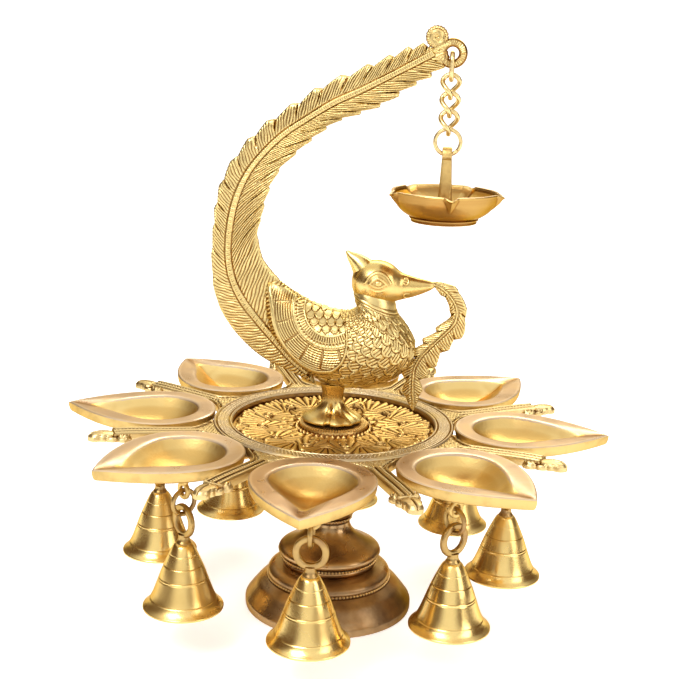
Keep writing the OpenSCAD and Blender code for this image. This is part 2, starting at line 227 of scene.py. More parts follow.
def tube(shape, path, radius, sides=16, closed=False):
    """Round wire along a path. An open wire gets rounded ends."""
    path = np.array(path, float)
    radii = np.broadcast_to(np.asarray(radius, float), len(path)).copy()
    if not closed:
        first, last = path[0] - path[1], path[-1] - path[-2]
        first, last = first / np.linalg.norm(first), last / np.linalg.norm(last)
        caps = [(0.85, 0.3), (0.6, 0.75), (0.25, 0.95)]
        path = np.vstack([[path[0] + first * radii[0] * out for out, _ in caps], path,
                          [path[-1] + last * radii[-1] * out for out, _ in caps[::-1]]])
        radii = np.concatenate([[radii[0] * share for _, share in caps], radii,
                                [radii[-1] * share for _, share in caps[::-1]]])
    tangent = np.roll(path, -1, 0) - np.roll(path, 1, 0)
    if not closed:
        tangent[0], tangent[-1] = path[1] - path[0], path[-1] - path[-2]
    tangent /= np.linalg.norm(tangent, axis=1)[:, None]
    side = np.zeros_like(tangent)
    side[0] = np.cross(tangent[0], [0.31, 0.17, 0.93])
    side[0] /= np.linalg.norm(side[0])
    for i in range(1, len(path)):
        s = side[i - 1] - tangent[i] * np.dot(side[i - 1], tangent[i])
        side[i] = s / np.linalg.norm(s)
    up = np.cross(tangent, side)
    if closed:  # spreads the turn that is left between the last ring and the first
        left = math.atan2(np.dot(side[-1], up[0]), np.dot(side[-1], side[0]))
        spread = -left * np.arange(len(path)) / (len(path) - 1)
        side, up = (side * np.cos(spread)[:, None] + up * np.sin(spread)[:, None],
                    up * np.cos(spread)[:, None] - side * np.sin(spread)[:, None])
    a = round_angles(sides)
    rim = np.cos(a)[None, :, None] * side[:, None] + np.sin(a)[None, :, None] * up[:, None]
    loft(shape, path[:, None] + rim * radii[:, None, None], closed)


def band(shape, centre, radius, half_wide, half_thick, power, sides):
    """A flat ring about the X axis, whose section is a rounded rectangle."""
    a = round_angles(sides)
    b = round_angles(20)
    r = radius + np.broadcast_to(half_wide * blunt(np.cos(b), 2 / power), (sides, 20))
    across, up = r * np.cos(a)[:, None], r * np.sin(a)[:, None]
    off = np.broadcast_to(half_thick * blunt(np.sin(b), 2 / power), r.shape)
    loft(shape, np.array(centre) + np.stack([off, across, up], -1), True)


def block(shape, sections):
    """A bar with rounded edges through sections of (middle, half width in X, half width in Y)."""
    corners = blunt(unit_circle(24), 0.4)
    loft(shape, np.array([level(m[:2] + corners * [hx, hy], m[2]) for m, hx, hy in sections]))


def plate(shape, rings, top, under, skip=4):
    """A solid plate with a shaped top: rings (rows, points, 2) run from the middle outwards."""
    low = np.concatenate([rings[-1:], rings[-2::-skip]])
    loft(shape, np.concatenate([level(rings, top(rings[..., 0], rings[..., 1])),
                                level(low, under(low[..., 0], low[..., 1]))]))


def displaced(grid, height):
    """Moves the points of a skin (rows wrap round, columns don't) out along its normals."""
    along = np.gradient(grid, axis=0)
    across = np.roll(grid, -1, 1) - np.roll(grid, 1, 1)
    normal = np.cross(along, across)
    normal /= np.maximum(np.linalg.norm(normal, axis=2), 1e-9)[..., None]
    outward = np.einsum("ijk,ijk->", normal, grid - grid.mean(1, keepdims=True))
    return grid + normal * (height if outward > 0 else -height)[..., None]


# ---- pieces

def read(items, key, width, kind=float):
    """One property of all the vertices, edges or faces of a mesh, as an array of rows."""
    out = np.empty(len(items) * width, kind)
    items.foreach_get(key, out)
    return out.reshape(-1, width)


def placed(name, data):
    """A new object in the scene."""
    made = bpy.data.objects.new(name, data)
    bpy.context.scene.collection.objects.link(made)
    return made


# Drives the brass colour: dark in the hollows, light on the ridges. The dark hollows are patina and
# painted shade, the light ridges rubbed wear.
def wear_and_painted_shade(mesh, gain):
    """From 0 in the hollows to 1 on the ridges: how far each point stands above its surroundings."""
    points, normals = read(mesh.vertices, "co", 3) / MM, read(mesh.vertex_normals, "vector", 3)
    edges = read(mesh.edges, "vertices", 2, np.int32)
    a, b = np.vstack([edges, edges[:, ::-1]]).T
    count = len(points)
    near = np.maximum(np.bincount(a, minlength=count), 1)
    smooth = points
    for _ in range(8):
        around = np.stack([np.bincount(a, smooth[b, k], count) for k in range(3)], 1) / near[:, None]
        smooth = (smooth + around) / 2
    return np.clip(0.5 + gain * np.einsum("ij,ij->i", points - smooth, normals), 0, 1)


def make_piece(name, shape, body, nodes, material, sharp=38, gain=2.2):
    """A Blender piece from a Shape. It rides on a body and stands for the CAD nodes."""
    mesh = bpy.data.meshes.new(name)
    points = np.vstack(shape.points) * MM
    mesh.vertices.add(len(points))
    mesh.vertices.foreach_set("co", points.ravel())
    sizes = np.concatenate([np.full(len(f), f.shape[1]) for f in shape.faces])
    corners = np.concatenate([f.ravel() for f in shape.faces])
    mesh.loops.add(len(corners))
    mesh.loops.foreach_set("vertex_index", corners.astype(np.int32))
    mesh.polygons.add(len(sizes))
    starts = np.concatenate([[0], np.cumsum(sizes)[:-1]])
    mesh.polygons.foreach_set("loop_start", starts.astype(np.int32))
    mesh.update(calc_edges=True)
    # Relief for the brass colours, which paint shade into the hollows along with patina.
    relief = mesh.attributes.new("relief", "FLOAT", "POINT")
    relief.data.foreach_set("value", wear_and_painted_shade(mesh, gain=gain))
    mesh.shade_smooth()
    mesh.set_sharp_from_angle(angle=math.radians(sharp))
    mesh.materials.append(material)
    piece = placed(name, mesh)
    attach(piece, body)
    if nodes:
        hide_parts(*nodes)
    return piece


def paint_top(piece, rim_low, hollow_low):
    """Gives the flat rim above one height and the hollow above another their own materials. The
    rim's paler material, on faces that look up, is a painted reflection.
    """
    mesh = piece.data
    z = read(mesh.polygons, "center", 3)[:, 2] / MM
    up = read(mesh.polygons, "normal", 3)[:, 2]
    painted_rim_reflection = (z > rim_low) & (up > 0.6)
    hollow = (z > hollow_low) & (up > 0.1) & ~painted_rim_reflection
    mesh.polygons.foreach_set("material_index", (painted_rim_reflection + 2 * hollow).astype(np.int32))


# ---- materials

def join(tree, value, socket):
    """Feeds a socket from another one, or sets it to a number or a colour."""
    if isinstance(value, bpy.types.NodeSocket):
        tree.links.new(value, socket)
    elif isinstance(value, tuple):
        socket.default_value = (*value, 1)
    else:
        socket.default_value = value


def mixed(tree, share, first, second):
    """A mix of two colours."""
    made = tree.nodes.new("ShaderNodeMix")
    made.data_type = "RGBA"
    for index, value in ((0, share), (6, first), (7, second)):
        join(tree, value, made.inputs[index])
    return made.outputs[2]


def plain_material(name):
    """A new material with its node tree and its shader."""
    material = bpy.data.materials.new(name)
    material.use_nodes = True
    return material, material.node_tree, material.node_tree.nodes["Principled BSDF"].inputs


def brass(name, bright, hollow, rough, low=0.30, high=0.62, stain=None, stain_size=60,
          stain_share=0.3, grain=0.1):
    """Brass with darker hollows, a slow change of tone, and the fine grain of a cast surface. The
    darker hollows are patina and painted shade together, the lighter ridges rubbed wear.

    The relief attribute goes from the hollow's colour at low to the bright one at high.
    """
    material, tree, shader = plain_material(name)
    place = tree.nodes.new("ShaderNodeTexCoord")

    def node(kind, **inputs):
        made = tree.nodes.new("ShaderNode" + kind)
        for key, value in inputs.items():
            join(tree, value, made.inputs[key.replace("_", " ")])
        return made

    def noise(size, detail):
        made = node("TexNoise", Scale=size, Detail=detail, Vector=place.outputs["Object"])
        return made.outputs["Fac"]

    def ranged(value, start, end, to_start, to_end):
        made = node("MapRange", Value=value, From_Min=start, From_Max=end, To_Min=to_start,
                    To_Max=to_end)
        made.interpolation_type = "SMOOTHSTEP"
        return made.outputs["Result"]

    relief = node("Attribute")
    relief.attribute_name = "relief"
    slow = noise(stain_size, 5)
    # Painted shade in part: hollows take the dark hollow colour, which also stands for patina there.
    tone = mixed(tree, ranged(relief.outputs["Fac"], low, high, 0, 1), hollow, bright)
    darker = stain or tuple(0.6 * c for c in bright)
    rise = node("Bump", Strength=grain, Distance=0.0004, Height=noise(700, 3))
    for key, value in (
            ("Metallic", 1.0), ("Specular Tint", (0.62, 0.46, 0.28)),
            ("Base Color", mixed(tree, ranged(slow, 0.42, 0.72, 0, stain_share), tone, darker)),
            ("Roughness", ranged(slow, 0.3, 0.7, rough - 0.06, rough + 0.06)),
            ("Normal", rise.outputs["Normal"])):
        join(tree, value, shader[key])
    return material


CAST = brass("cast_brass", (0.64, 0.41, 0.14), (0.17, 0.065, 0.015), 0.36, low=0.31, high=0.6,
             grain=0.3)
FEATHER = brass("feather_brass", (0.74, 0.57, 0.24), (0.24, 0.11, 0.025), 0.34, low=0.25, high=0.57,
                grain=0.25)
PLATE = brass("plate_brass", (0.55, 0.425, 0.255), (0.15, 0.065, 0.02), 0.34, high=0.54, grain=0.3,
              stain=(0.60, 0.42, 0.15), stain_share=0.75)
ARM = brass("arm_brass", (0.66, 0.49, 0.22), (0.16, 0.07, 0.02), 0.36, high=0.56, grain=0.3,
            stain=(0.52, 0.36, 0.16), stain_share=0.5)
POLISHED = brass("polished_brass", (0.80, 0.59, 0.22), (0.40, 0.20, 0.05), 0.28, grain=0.15)
AGED = brass("aged_brass", (0.46, 0.295, 0.14), (0.07, 0.04, 0.02), 0.30, stain=(0.14, 0.08, 0.042),
             stain_size=34, stain_share=0.9, grain=0.25, low=0.34)
BEAD = brass("bead_brass", (0.78, 0.54, 0.24), (0.20, 0.10, 0.03), 0.28)
BELL = brass("bell_brass", (0.83, 0.60, 0.225), (0.20, 0.09, 0.02), 0.26, low=0.38, high=0.5,
             grain=0.08, stain=(0.60, 0.38, 0.11), stain_size=45, stain_share=0.5)
DISH = brass("dish_brass", (0.64, 0.44, 0.16), (0.40, 0.20, 0.05), 0.40, grain=0.5, stain_share=0.5,
             stain_size=120)
HOLLOW = brass("hollow_brass", (0.86, 0.65, 0.27), (0.66, 0.42, 0.13), 0.34, grain=0.25)
BOWL = brass("bowl_brass", (0.46, 0.275, 0.08), (0.30, 0.14, 0.035), 0.33, grain=0.3,
             stain=(0.36, 0.19, 0.05), stain_size=50, stain_share=0.6)
# Paler, pinkish rim tone for faces that look up: a painted reflection.
RIM_REFLECTION = brass("rim_painted_reflection", (0.71, 0.55, 0.37), (0.36, 0.20, 0.10), 0.33, grain=0.15, stain_size=80,
            stain=(0.62, 0.42, 0.19), stain_share=0.5)
WIRE = brass("wire_brass", (0.76, 0.58, 0.27), (0.28, 0.15, 0.05), 0.3, grain=0.3, stain_share=0.5)
EYE = brass("eye_bronze", (0.42, 0.275, 0.10), (0.16, 0.08, 0.03), 0.33, grain=0.3,
            stain=(0.30, 0.17, 0.08), stain_size=90, stain_share=0.7)
ROD = brass("rod_brass", (0.48, 0.34, 0.17), (0.20, 0.12, 0.05), 0.38, grain=0.3, stain_share=0.6)


# ---- pedestal

def pedestal_base():
    """Hollow foot in two tiers, with a row of beads between them."""
    outside = np.vstack([
        [[42.4, 0], [44.6, 0], [45.2, 0.4], [45.4, 1.2], [45.4, 3.8], [45.1, 4.6], [44.4, 5.3]],
        smooth_line([[43.2, 7.2], [41.4, 9.4], [38.6, 12.8], [35.6, 15.1], [34.0, 16.2]], 8),
        [[33.2, 16.6], [33.0, 17.1], [33.0, 17.7], [33.2, 18.2]],
        smooth_line([[33.5, 18.8], [33.4, 19.8], [32.6, 21.2], [30.2, 22.9], [27, 23.8],
                     [25.6, 24.1]], 8),
        [[25.0, 24.4], [15, 24.4], [15, 18.5], [2.7, 18.5], [2.7, 16], [26, 16], [30, 12], [34, 10],
         [37, 7], [42.4, 3]],
    ])
    shape = Shape()
    lathe(shape, outside, 120, closed=True)
    make_piece("pedestal_base_cast", shape, "stand", ["pedestal_base"], AGED)
    row = Shape()
    beads(row, 33.1, 17.4, 108, 0.85)
    make_piece("pedestal_base_beads", row, "stand", [], BEAD)


def pedestal_stem():
    """Disc, neck and knop that flare out under the plate, with two rows of beads."""
    outside = np.vstack([
        [[2.7, 17.5], [2.7, 98.9], [30, 98.9], [30, 96.4]],
        smooth_line([[29, 95.4], [21.6, 92], [15.4, 86], [11.6, 79], [9.8, 72], [10.6, 68],
                     [13.6, 65], [15.4, 61], [14.6, 57], [12.4, 53]], 8),
        [[11.6, 52.4], [11.2, 51.8], [11.2, 50.2], [10.7, 49.6]],
        smooth_line([[10.5, 49], [11, 46.4], [12.6, 43.4], [15.8, 40.2], [20.6, 37],
                     [25.6, 34.6]], 8),
        [[26.7, 33.9], [27.5, 33], [27.9, 31.9], [27.6, 30.8], [26.9, 30.1], [26.2, 29.4],
         [25.8, 29.0], [25.8, 27.8], [26.2, 27.2], [26.1, 26.4], [25.5, 25.4], [24.6, 24.7]],
        [[15, 24.4], [15, 18.5], [14.6, 18.5]],
    ])
    shape = Shape()
    lathe(shape, outside, 120, closed=True)
    make_piece("pedestal_stem_cast", shape, "stand", ["pedestal_stem"], AGED)
    rows = Shape()
    beads(rows, 26.0, 28.4, 90, 0.8)
    beads(rows, 11.3, 51, 42, 0.75)
    make_piece("pedestal_stem_beads", rows, "stand", [], BEAD)


# ---- plate

RING_IN, RING_OUT, RING_TOP, RING_LOW, ARM_LOW = 54.0, 64.0, 105.0, 99.0, 99.8


def ring_top(x, y):
    """Height of the ring's face: a line inside each edge and three rows of small pits between."""
    r, a = np.hypot(x, y), np.arctan2(y, x)
    z = RING_TOP - 0.45 * ridge(r - 55.6, 0.45) - 0.45 * ridge(r - 62.3, 0.45)
    for row in range(3):
        radius = 57.2 + 1.75 * row
        pitch = 2 * PI / 180
        off = (a / pitch + 0.5 * (row % 2)) % 1 - 0.5
        z = z - 0.55 * ridge(np.hypot(r - radius, off * pitch * radius), 0.5)
    return z - 0.5 * (1 - ease(r, RING_IN, RING_IN + 0.5)) - 0.5 * ease(r, RING_OUT - 0.5, RING_OUT)


def plate_annulus(shape):
    """The plate's ring, with the ledge that the medallion lies on."""
    unit = unit_circle(1200)
    radii = np.concatenate([[54, 54.2, 54.5], np.linspace(54.9, 63.1, 34), [63.5, 63.8, 64]])
    face = radii[:, None, None] * unit
    top = level(face, ring_top(face[..., 0], face[..., 1]))
    low = [(63.9, 101), (64, 99.4), (63.4, RING_LOW), (55.8, RING_LOW), (55.6, 96), (46, 96),
           (46, 98.9), (53.9, 98.9), (54, 101)]
    loft(shape, np.concatenate([top, [level(r * unit, z) for r, z in low]]), True)


def arm_half(x):
    """Half width of an arm: a curved gusset at the ring, then straight."""
    return 4.4 + 10.6 * np.clip(1 - (x - 63.5) / 14, 0, 1) ** 1.7


def arm_top(x, y):
    """Three raised lines along the arm with rows of dots between, and a pitted gusset."""
    half = arm_half(x)
    edge = half - np.abs(y)
    z = np.full(np.shape(x), 103.7)
    z = z + 0.9 * ridge(edge - 0.9, 0.75)
    middle = ease(x, 71, 74)
    z = z + 0.9 * middle * ridge(y, 0.75)
    dots = ridge(np.hypot((x / 1.9 % 1 - 0.5) * 1.9, np.abs(y) - 2.0), 0.6)
    z = z + 0.5 * middle * dots
    row = np.floor(y / 1.7)
    pits = ridge(np.hypot(((x / 1.9 + 0.5 * row) % 1 - 0.5) * 1.9, (y / 1.7 % 1 - 0.5) * 1.7), 0.5)
    z = z - 0.6 * (1 - middle) * pits * ease(edge, 1.6, 2.2)
    inner = np.minimum((half - 4.2) - np.abs(y), 0)
    z = z + 0.6 * (1 - middle) * ridge(inner, 0.5) * (half > 5)
    return z - 0.5 * (1 - ease(edge, 0, 0.4))


def plate_arm(shape):
    """One arm along +X, from inside the ring to under its finial."""
    x = np.linspace(62.5, 116.5, 170)[:, None]
    share = np.concatenate([[-1, -0.985], np.linspace(-0.96, 0.96, 41), [0.985, 1]])[None, :]
    y = arm_half(x) * share
    x = np.broadcast_to(x, y.shape)
    top = np.stack([x, y, arm_top(x, y)], -1)
    low_y = y[:, ::-11] * 0.96
    low = level(np.stack([np.broadcast_to(x[:, :1], low_y.shape), low_y], -1), ARM_LOW)
    loft(shape, np.concatenate([top, low], 1))


def leaf_fan(x, y, hinge, heading, length, spread, ribs):
    """Height, from 0 to 1, of a shell whose ribs leave a hinge and end in scallops."""
    scallop = 0.12
    dx, dy = x - hinge[0], y - hinge[1]
    rho = np.hypot(dx, dy)
    phi = (np.arctan2(dy, dx) - math.radians(heading) + PI) % (2 * PI) - PI
    wide = math.radians(spread)
    wave = np.abs(np.cos(phi / wide * ribs * PI / 2))
    edge = length * (1 - scallop + scallop * wave) * (0.72 + 0.28 * np.cos(phi / wide * PI / 2))
    t = rho / edge
    dome = (0.45 + 0.55 * np.clip(t, 0, 1)) * ease(-t, -1.0, -0.88)
    side = ease((wide - np.abs(phi)) * np.maximum(rho, 0.5), 0, 1.2)
    return dome * side * (0.48 + 0.52 * wave ** 0.55)


def curl(x, y, centre, size):
    """Height, from 0 to 1, of a raised spiral."""
    dx, dy = x - centre[0], y - centre[1]
    rho, phi = np.hypot(dx, dy), np.arctan2(dy, dx)
    turn = rho / size * 1.6 - phi / (2 * PI)
    return ridge((turn % 1 - 0.5) * size / 1.6, size * 0.24) * (rho < size)


FINIAL_MID, ARM_RISE = 117.0, 2.4


def finial_top(x, y):
    """Scalloped side lobes, and a smooth leaf-like tongue with a crease along it."""
    side = np.hypot(x - 112.2, np.abs(y) - 3.5)
    turn = np.arctan2(np.abs(y) - 3.5, x - 112.2)
    lobes = (0.75 + 0.25 * np.cos(turn * 7)) * ease(-side, -4.1, -2.8) - 0.7 * ridge(side - 2.0, 0.5)
    tongue = np.sqrt(np.clip(1 - ((x - 122.6) / 7.6) ** 2 - (y / 5.1) ** 2, 0, 1))
    tongue = tongue - 0.35 * ridge(y, 0.5) * (x > 119)
    cross = 0.9 * ridge(x - 116.4, 0.8) * (np.abs(y) < 5)
    return 102.2 + 2.0 * np.maximum(np.maximum(tongue, 0.75 * lobes), cross)


def finial_outline():
    """Bud at the end of an arm: two side lobes, then a long tongue."""
    lobes = [((112.2, 3.5), 4.1), ((112.2, -3.5), 4.1), ((117.6, 2.4), 3.8), ((117.6, -2.4), 3.8),
             ((121.6, 0), 4.5), ((125.8, 0), 3.9)]
    out = []
    for a in round_angles(140):
        ux, uy = math.cos(a), math.sin(a)
        best = 0
        for (cx, cy), r in lobes:
            px, py = FINIAL_MID - cx, -cy
            b = px * ux + py * uy
            disc = b * b - (px * px + py * py - r * r)
            if disc > 0:
                best = max(best, -b + math.sqrt(disc))
        out.append((FINIAL_MID + best * ux, best * uy))
    return np.array(out)


def plate_finial(shape):
    """The lobed bud at the end of one arm."""
    share = np.linspace(0.03, 1, 34)[:, None, None]
    middle = np.array([FINIAL_MID, 0])
    rings = middle + share * (finial_outline() - middle)
    share = np.broadcast_to(share[..., 0], rings.shape[:2])
    plate(shape, rings, lambda x, y: finial_top(x, y) - 0.9 * ease(share, 0.86, 1),
          lambda x, y: ARM_LOW)


def plate_ring():
    """The ring and, as a piece of their own, its arms. They climb a little towards their ends."""
    ring, arm, arms = Shape(), Shape(), Shape()
    plate_annulus(ring)
    plate_arm(arm)
    plate_finial(arm)
    arm = arm.moved(lambda p: p + np.outer(ARM_RISE * ease(p[:, 0], 64, 118), [0, 0, 1]))
    for i in range(DISHES):
        arms.join(arm.turned(FIRST_ANGLE + TURN * (i + 0.5)))
    make_piece("plate_ring_pierced", ring, "stand", ["plate_ring"], PLATE)
    make_piece("plate_arms_and_finials", arms, "stand", [], ARM)


SHELLS = 12


def medallion_top(x, y):
    """Shells in two rows, the outer ones opening outwards and the inner ones towards the foot."""
    r, a = np.hypot(x, y), np.arctan2(y, x)
    sector = 2 * PI / SHELLS
    fold = (a + sector / 2) % sector - sector / 2
    fx, fy = r * np.cos(fold), np.abs(r * np.sin(fold))
    half = math.degrees(sector / 2)
    edge = np.array([math.cos(sector / 2), math.sin(sector / 2)])
    h = 0.9 * curl(fx, fy, 38 * edge - [0, 0.2], 2.9)
    for high, hinge, heading, length, spread, ribs in (
            (1.0, (32, 0), 0, 21.5, 70, 9), (0.95, 41 * edge, half, 13, 60, 7),
            (0.85, 41.5 * edge, 180 + half, 20, 62, 7), (0.8, (31.5, 0), 180, 12, 75, 5)):
        h = np.maximum(h, high * leaf_fan(fx, fy, hinge, heading, length, spread, ribs))
    flange = ease(-r, -18.6, -18.0)
    rays = 0.5 + 0.5 * np.abs(np.cos(a * 36))
    z = 99.6 + 3.9 * h ** 0.9
    z = np.maximum(z, 101.2 + 1.6 * ridge(r - 19.6, 1.0) * (0.55 + 0.45 * np.cos(a * 42)))
    ribbed = 103.4 + 0.7 * rays + 0.6 * ease(-r, -17.6, -16.4)
    return np.minimum(flange * ribbed + (1 - flange) * z, 105.5)


def medallion():
    """The relief disc in the ring, with the beaded flange that the peacock's foot stands on."""
    unit = unit_circle(760)
    radii = np.concatenate([[3, 10], np.linspace(15, 53.7, 116)])
    shape = Shape()
    plate(shape, radii[:, None, None] * unit, medallion_top, lambda x, y: 99.05, 30)
    make_piece("medallion_relief", shape, "stand", ["medallion"], CAST, sharp=60)


# ---- oil dishes

DISH_MID, DISH_HALF, DISH_TIP = 94.5, 30.0, 145.0
DISH_RIM, DISH_LOW, DISH_KEEL = 106.5, 101.2, 94.3
HOLLOW_MID, HOLLOW_HALF, HOLLOW_TIP, HOLLOW_DEEP = 95.0, 21.6, 131.0, 10.2
BELL_R = 94.4


def leaf_outline(middle, half, tip, fullness):
    """Half a circle on the inside and two bowed sides that meet at the tip, from the tip round."""
    share = np.linspace(1, 0, 60)[:, None] ** 0.9
    side = np.hstack([middle + (tip - middle) * share, half * (1 - share ** fullness)])
    a = np.radians(np.linspace(90, 270, 61))[1:-1]
    round_end = np.stack([middle + half * np.cos(a), half * np.sin(a)], 1)
    return np.vstack([side, round_end, side[:0:-1] * [1, -1]])


def hollow_share(x, y):
    """How far a point lies on the way from the middle of the hollow (0) to its edge (1)."""
    edge = leaf_outline(HOLLOW_MID, HOLLOW_HALF, HOLLOW_TIP, 1.55) - [HOLLOW_MID, 0]
    edge = edge[edge[:, 1] >= -1e-9]
    turn = np.arctan2(np.abs(edge[:, 1]), edge[:, 0])
    order = np.argsort(turn)
    reach = np.interp(np.arctan2(np.abs(y), x - HOLLOW_MID), turn[order],
                      np.hypot(edge[:, 0], edge[:, 1])[order])
    return np.hypot(x - HOLLOW_MID, y) / reach


def dish_top(x, y):
    """A leaf-shaped bowl with a narrow soft edge, and a shallow channel from it to the tip."""
    drop = HOLLOW_DEEP * (1 - hollow_share(x, y) ** 2.2)
    bowl = 0.5 * (drop + np.sqrt(drop ** 2 + 0.7))
    half = 7.2 * np.clip((146 - x) / 24, 0, 1.6) ** 0.9 + 0.3
    channel = (0.25 + 1.9 * np.clip((142.5 - x) / 22, 0, 1)) * np.exp(-(np.abs(y) / half) ** 2.4)
    channel = channel * ease(x, 112, 122)
    return DISH_RIM - np.minimum(np.hypot(bowl, channel), HOLLOW_DEEP)


def dish_rings():
    """Rings from the middle out to the rim."""
    outline = leaf_outline(DISH_MID, DISH_HALF, DISH_TIP, 1.9)
    reach = outline - [HOLLOW_MID, 0]
    shares = np.concatenate([np.linspace(0.04, 0.5, 10), np.linspace(0.53, 0.94, 34),
                             [0.96, 0.98, 0.99, 1.0]])
    share = shares[:, None, None] * np.ones((1, len(outline), 1))
    return np.array([HOLLOW_MID, 0]) + share * reach, share[..., 0]


def dish_body(shape):
    """One dish along +X: its top, a flat rim wall and a rounded underside."""
    rings, share = dish_rings()
    top = level(rings, dish_top(rings[..., 0], rings[..., 1]) - 0.45 * ease(share, 0.98, 1.0))
    middle, side = [HOLLOW_MID, 0], DISH_LOW - 0.5
    lower = [(1.0, DISH_RIM - 1.1), (0.998, DISH_RIM - 2.4), (0.988, DISH_RIM - 4.2),
             (0.972, DISH_LOW), (0.95, side)]
    for s in np.linspace(0.9, 0.06, 16):
        lower.append((s, DISH_KEEL + (side - DISH_KEEL) * (s / 0.95) ** 2.1))
    loft(shape, np.concatenate([top, [level(middle + s * (rings[-1] - middle), z)
                                      for s, z in lower]]))


def dish_lug(shape):
    """The eye under a dish that its hanging ring goes through."""
    band(shape, (BELL_R, 0, 85.6), 3.45, 1.2, 1.1, 3, 40)
    block(shape, [((BELL_R, 0, z), hx, hy) for z, hx, hy in (
        (88.4, 1.0, 2.4), (90.2, 1.1, 3.2), (93, 1.3, 4.0), (95.5, 2.2, 4.7))])


def dish_tab(shape):
    """Bar along X that runs in under the plate's ring."""
    tab = Shape()
    block(tab, [((98, 0, x), 1.2, 6.8) for x in (57.2, 70, 78)])
    shape.join(tab.moved(lambda p: p[:, [2, 1, 0]]))


def dishes():
    """The eight dishes, with a paler rim, which is a painted reflection, and a brighter hollow."""
    one = Shape()
    dish_body(one)
    dish_lug(one)
    dish_tab(one)
    for i in range(DISHES):
        piece = make_piece(f"dish_{i + 1}_cast", one.turned(FIRST_ANGLE + TURN * i), "stand",
                           [f"dish_{i + 1}"], DISH, sharp=24)
        piece.data.materials.append(RIM_REFLECTION)
        piece.data.materials.append(HOLLOW)
        paint_top(piece, DISH_RIM - 1.1, DISH_RIM - 10.4)


# ---- bells

def bell_radius(z):
    """Outside radius of the bell at a height, with its engraved lines."""
    shape = smooth_line([[24, 20.3], [24.8, 20.3], [25.4, 19.6], [26.6, 18.3], [28.4, 17.0],
                         [31.6, 15.4], [37.5, 13.2], [44.0, 10.9], [50.0, 8.4], [53.6, 6.8],
                         [55.8, 5.7], [57.2, 4.8], [58, 3.8]], 8)
    r = np.interp(z, shape[:, 0], shape[:, 1])
    for at, depth in ((46.8, 0.2), (40.4, 0.22), (39.5, 0.14), (29.2, 0.25), (52.6, 0.08)):
        r = r - depth * ridge(z - at, 0.24)
    return r


def bells():
    """Each bell with its eye, the ring that it hangs from and the clapper inside it."""
    z = np.concatenate([[24, 24.2], np.arange(24.5, 57.8, 0.2), [57.9, 58]])
    outside = np.stack([bell_radius(z), z], 1)
    z_in = np.array([56, 54.6, 50.6, 43.5, 36.5, 30.5, 27.4, 25.3, 24.3])
    inside = np.stack([bell_radius(z_in) - 1.6, z_in], 1)
    profile = np.vstack([outside, [[2.6, 58], [2.6, 56.2]], inside])
    for i in range(DISHES):
        bell, eye, ring, striker = Shape(), Shape(), Shape(), Shape()
        lathe(bell, profile, 88, (BELL_R, 0), True)
        band(eye, (BELL_R, 0, 69.6), 7.05, 1.7, 1.45, 3, 64)
        shank = [[3.9, 57.9], [3.7, 58.5], [3.0, 59.6], [2.7, 61], [2.8, 62.6]]
        lathe(eye, smooth_line(shank, 4), 24, (BELL_R, 0))
        lathe(eye, [[2.4, 55.4], [2.5, 56], [2.5, 58.2]], 24, (BELL_R, 0))
        tube(eye, circle((BELL_R, 0, 54.5), 2.2, "x"), 0.8, 12, True)
        tube(ring, circle((BELL_R, 0, 79.4), 6.2, "y"), 1.2, 16, True)
        tube(striker, circle((BELL_R, 0, 51.7), 2.4, "y"), 0.7, 10, True)
        tube(striker, [(BELL_R, 0, 49.4), (BELL_R, 0, 42), (BELL_R, 0, 33)], 0.9, 12)
        ball(striker, (BELL_R, 0, 32), 3.4)
        n, angle = i + 1, FIRST_ANGLE + TURN * i
        for shape, name, body, slot, look in (
                (bell, "bell", "bell_body", "bell_brass", BELL),
                (eye, "bell_eye", "bell_body", "link_brass", EYE),
                (ring, "hanging_ring", "ring_body", "link_brass", EYE),
                (striker, "clapper", "clapper_body", "rod_brass", ROD)):
            make_piece(f"{name}_{n}_cast", shape.turned(angle), f"{body}_{n}", [f"{name}_{n}"],
                       look)


def circle(centre, radius, axis):
    """Points of a circle about the X or the Y axis."""
    flat = level(radius * unit_circle(56), 0)
    return np.array(centre) + flat[:, [2, 0, 1] if axis == "x" else [0, 2, 1]]


# ---- chain and hanging bowl

LOOP_X, LOOP_Z = 52.5, 298.4
LINK_R, LINK_WIRE, LINK_LEN = 4.4, 1.2, 11.5
TOP_LINK_R, TOP_LINK_LEN, BEARING = 4.3, 12.9, 2.6


def chain():
    """The top link hangs in the tail's loop, and each link below bears on the one above it."""
    shape = Shape()
    flat = link_outline(LOOP_Z, TOP_LINK_R, TOP_LINK_LEN, 13, 72)
    tube(shape, np.insert(flat, 0, LOOP_X, 1), LINK_WIRE, 16, True)
    make_piece("top_link_wire", shape, "top_link_body", ["top_link"], WIRE)
    for n in (2, 3, 4):
        shape = Shape()
        top_z = LOOP_Z - TOP_LINK_LEN + BEARING - (n - 2) * (LINK_LEN - BEARING)
        tube(shape, twisted_link(top_z), LINK_WIRE, 16, True)
        make_piece(f"link_{n}_wire", shape, f"link_{n}_body", [f"link_{n}"], WIRE)


def link_outline(top_z, radius, length, bend_points, count):
    """A flat link as points of (distance across, height): two bends with straight wire between."""
    half = np.radians(np.linspace(0, 180, bend_points))
    over = np.stack([radius * np.cos(half), top_z - radius + radius * np.sin(half)], 1)
    low = top_z - length + radius
    under = np.stack([-radius * np.cos(half), low - radius * np.sin(half)], 1)
    return resampled_loop(np.vstack([over, under]), count)


def twisted_link(top_z):
    """A link whose upper bend lies in the XZ plane and whose lower bend lies in the YZ plane."""
    across, z = link_outline(top_z, LINK_R, LINK_LEN, 25, 96).T
    turn = PI / 2 * ease(top_z - z, 0.12 * LINK_LEN, 0.88 * LINK_LEN)
    return np.stack([LOOP_X + across * np.cos(turn), across * np.sin(turn), z], 1)


SPLIT_Z, EYE_Z = 254.85, 248.45


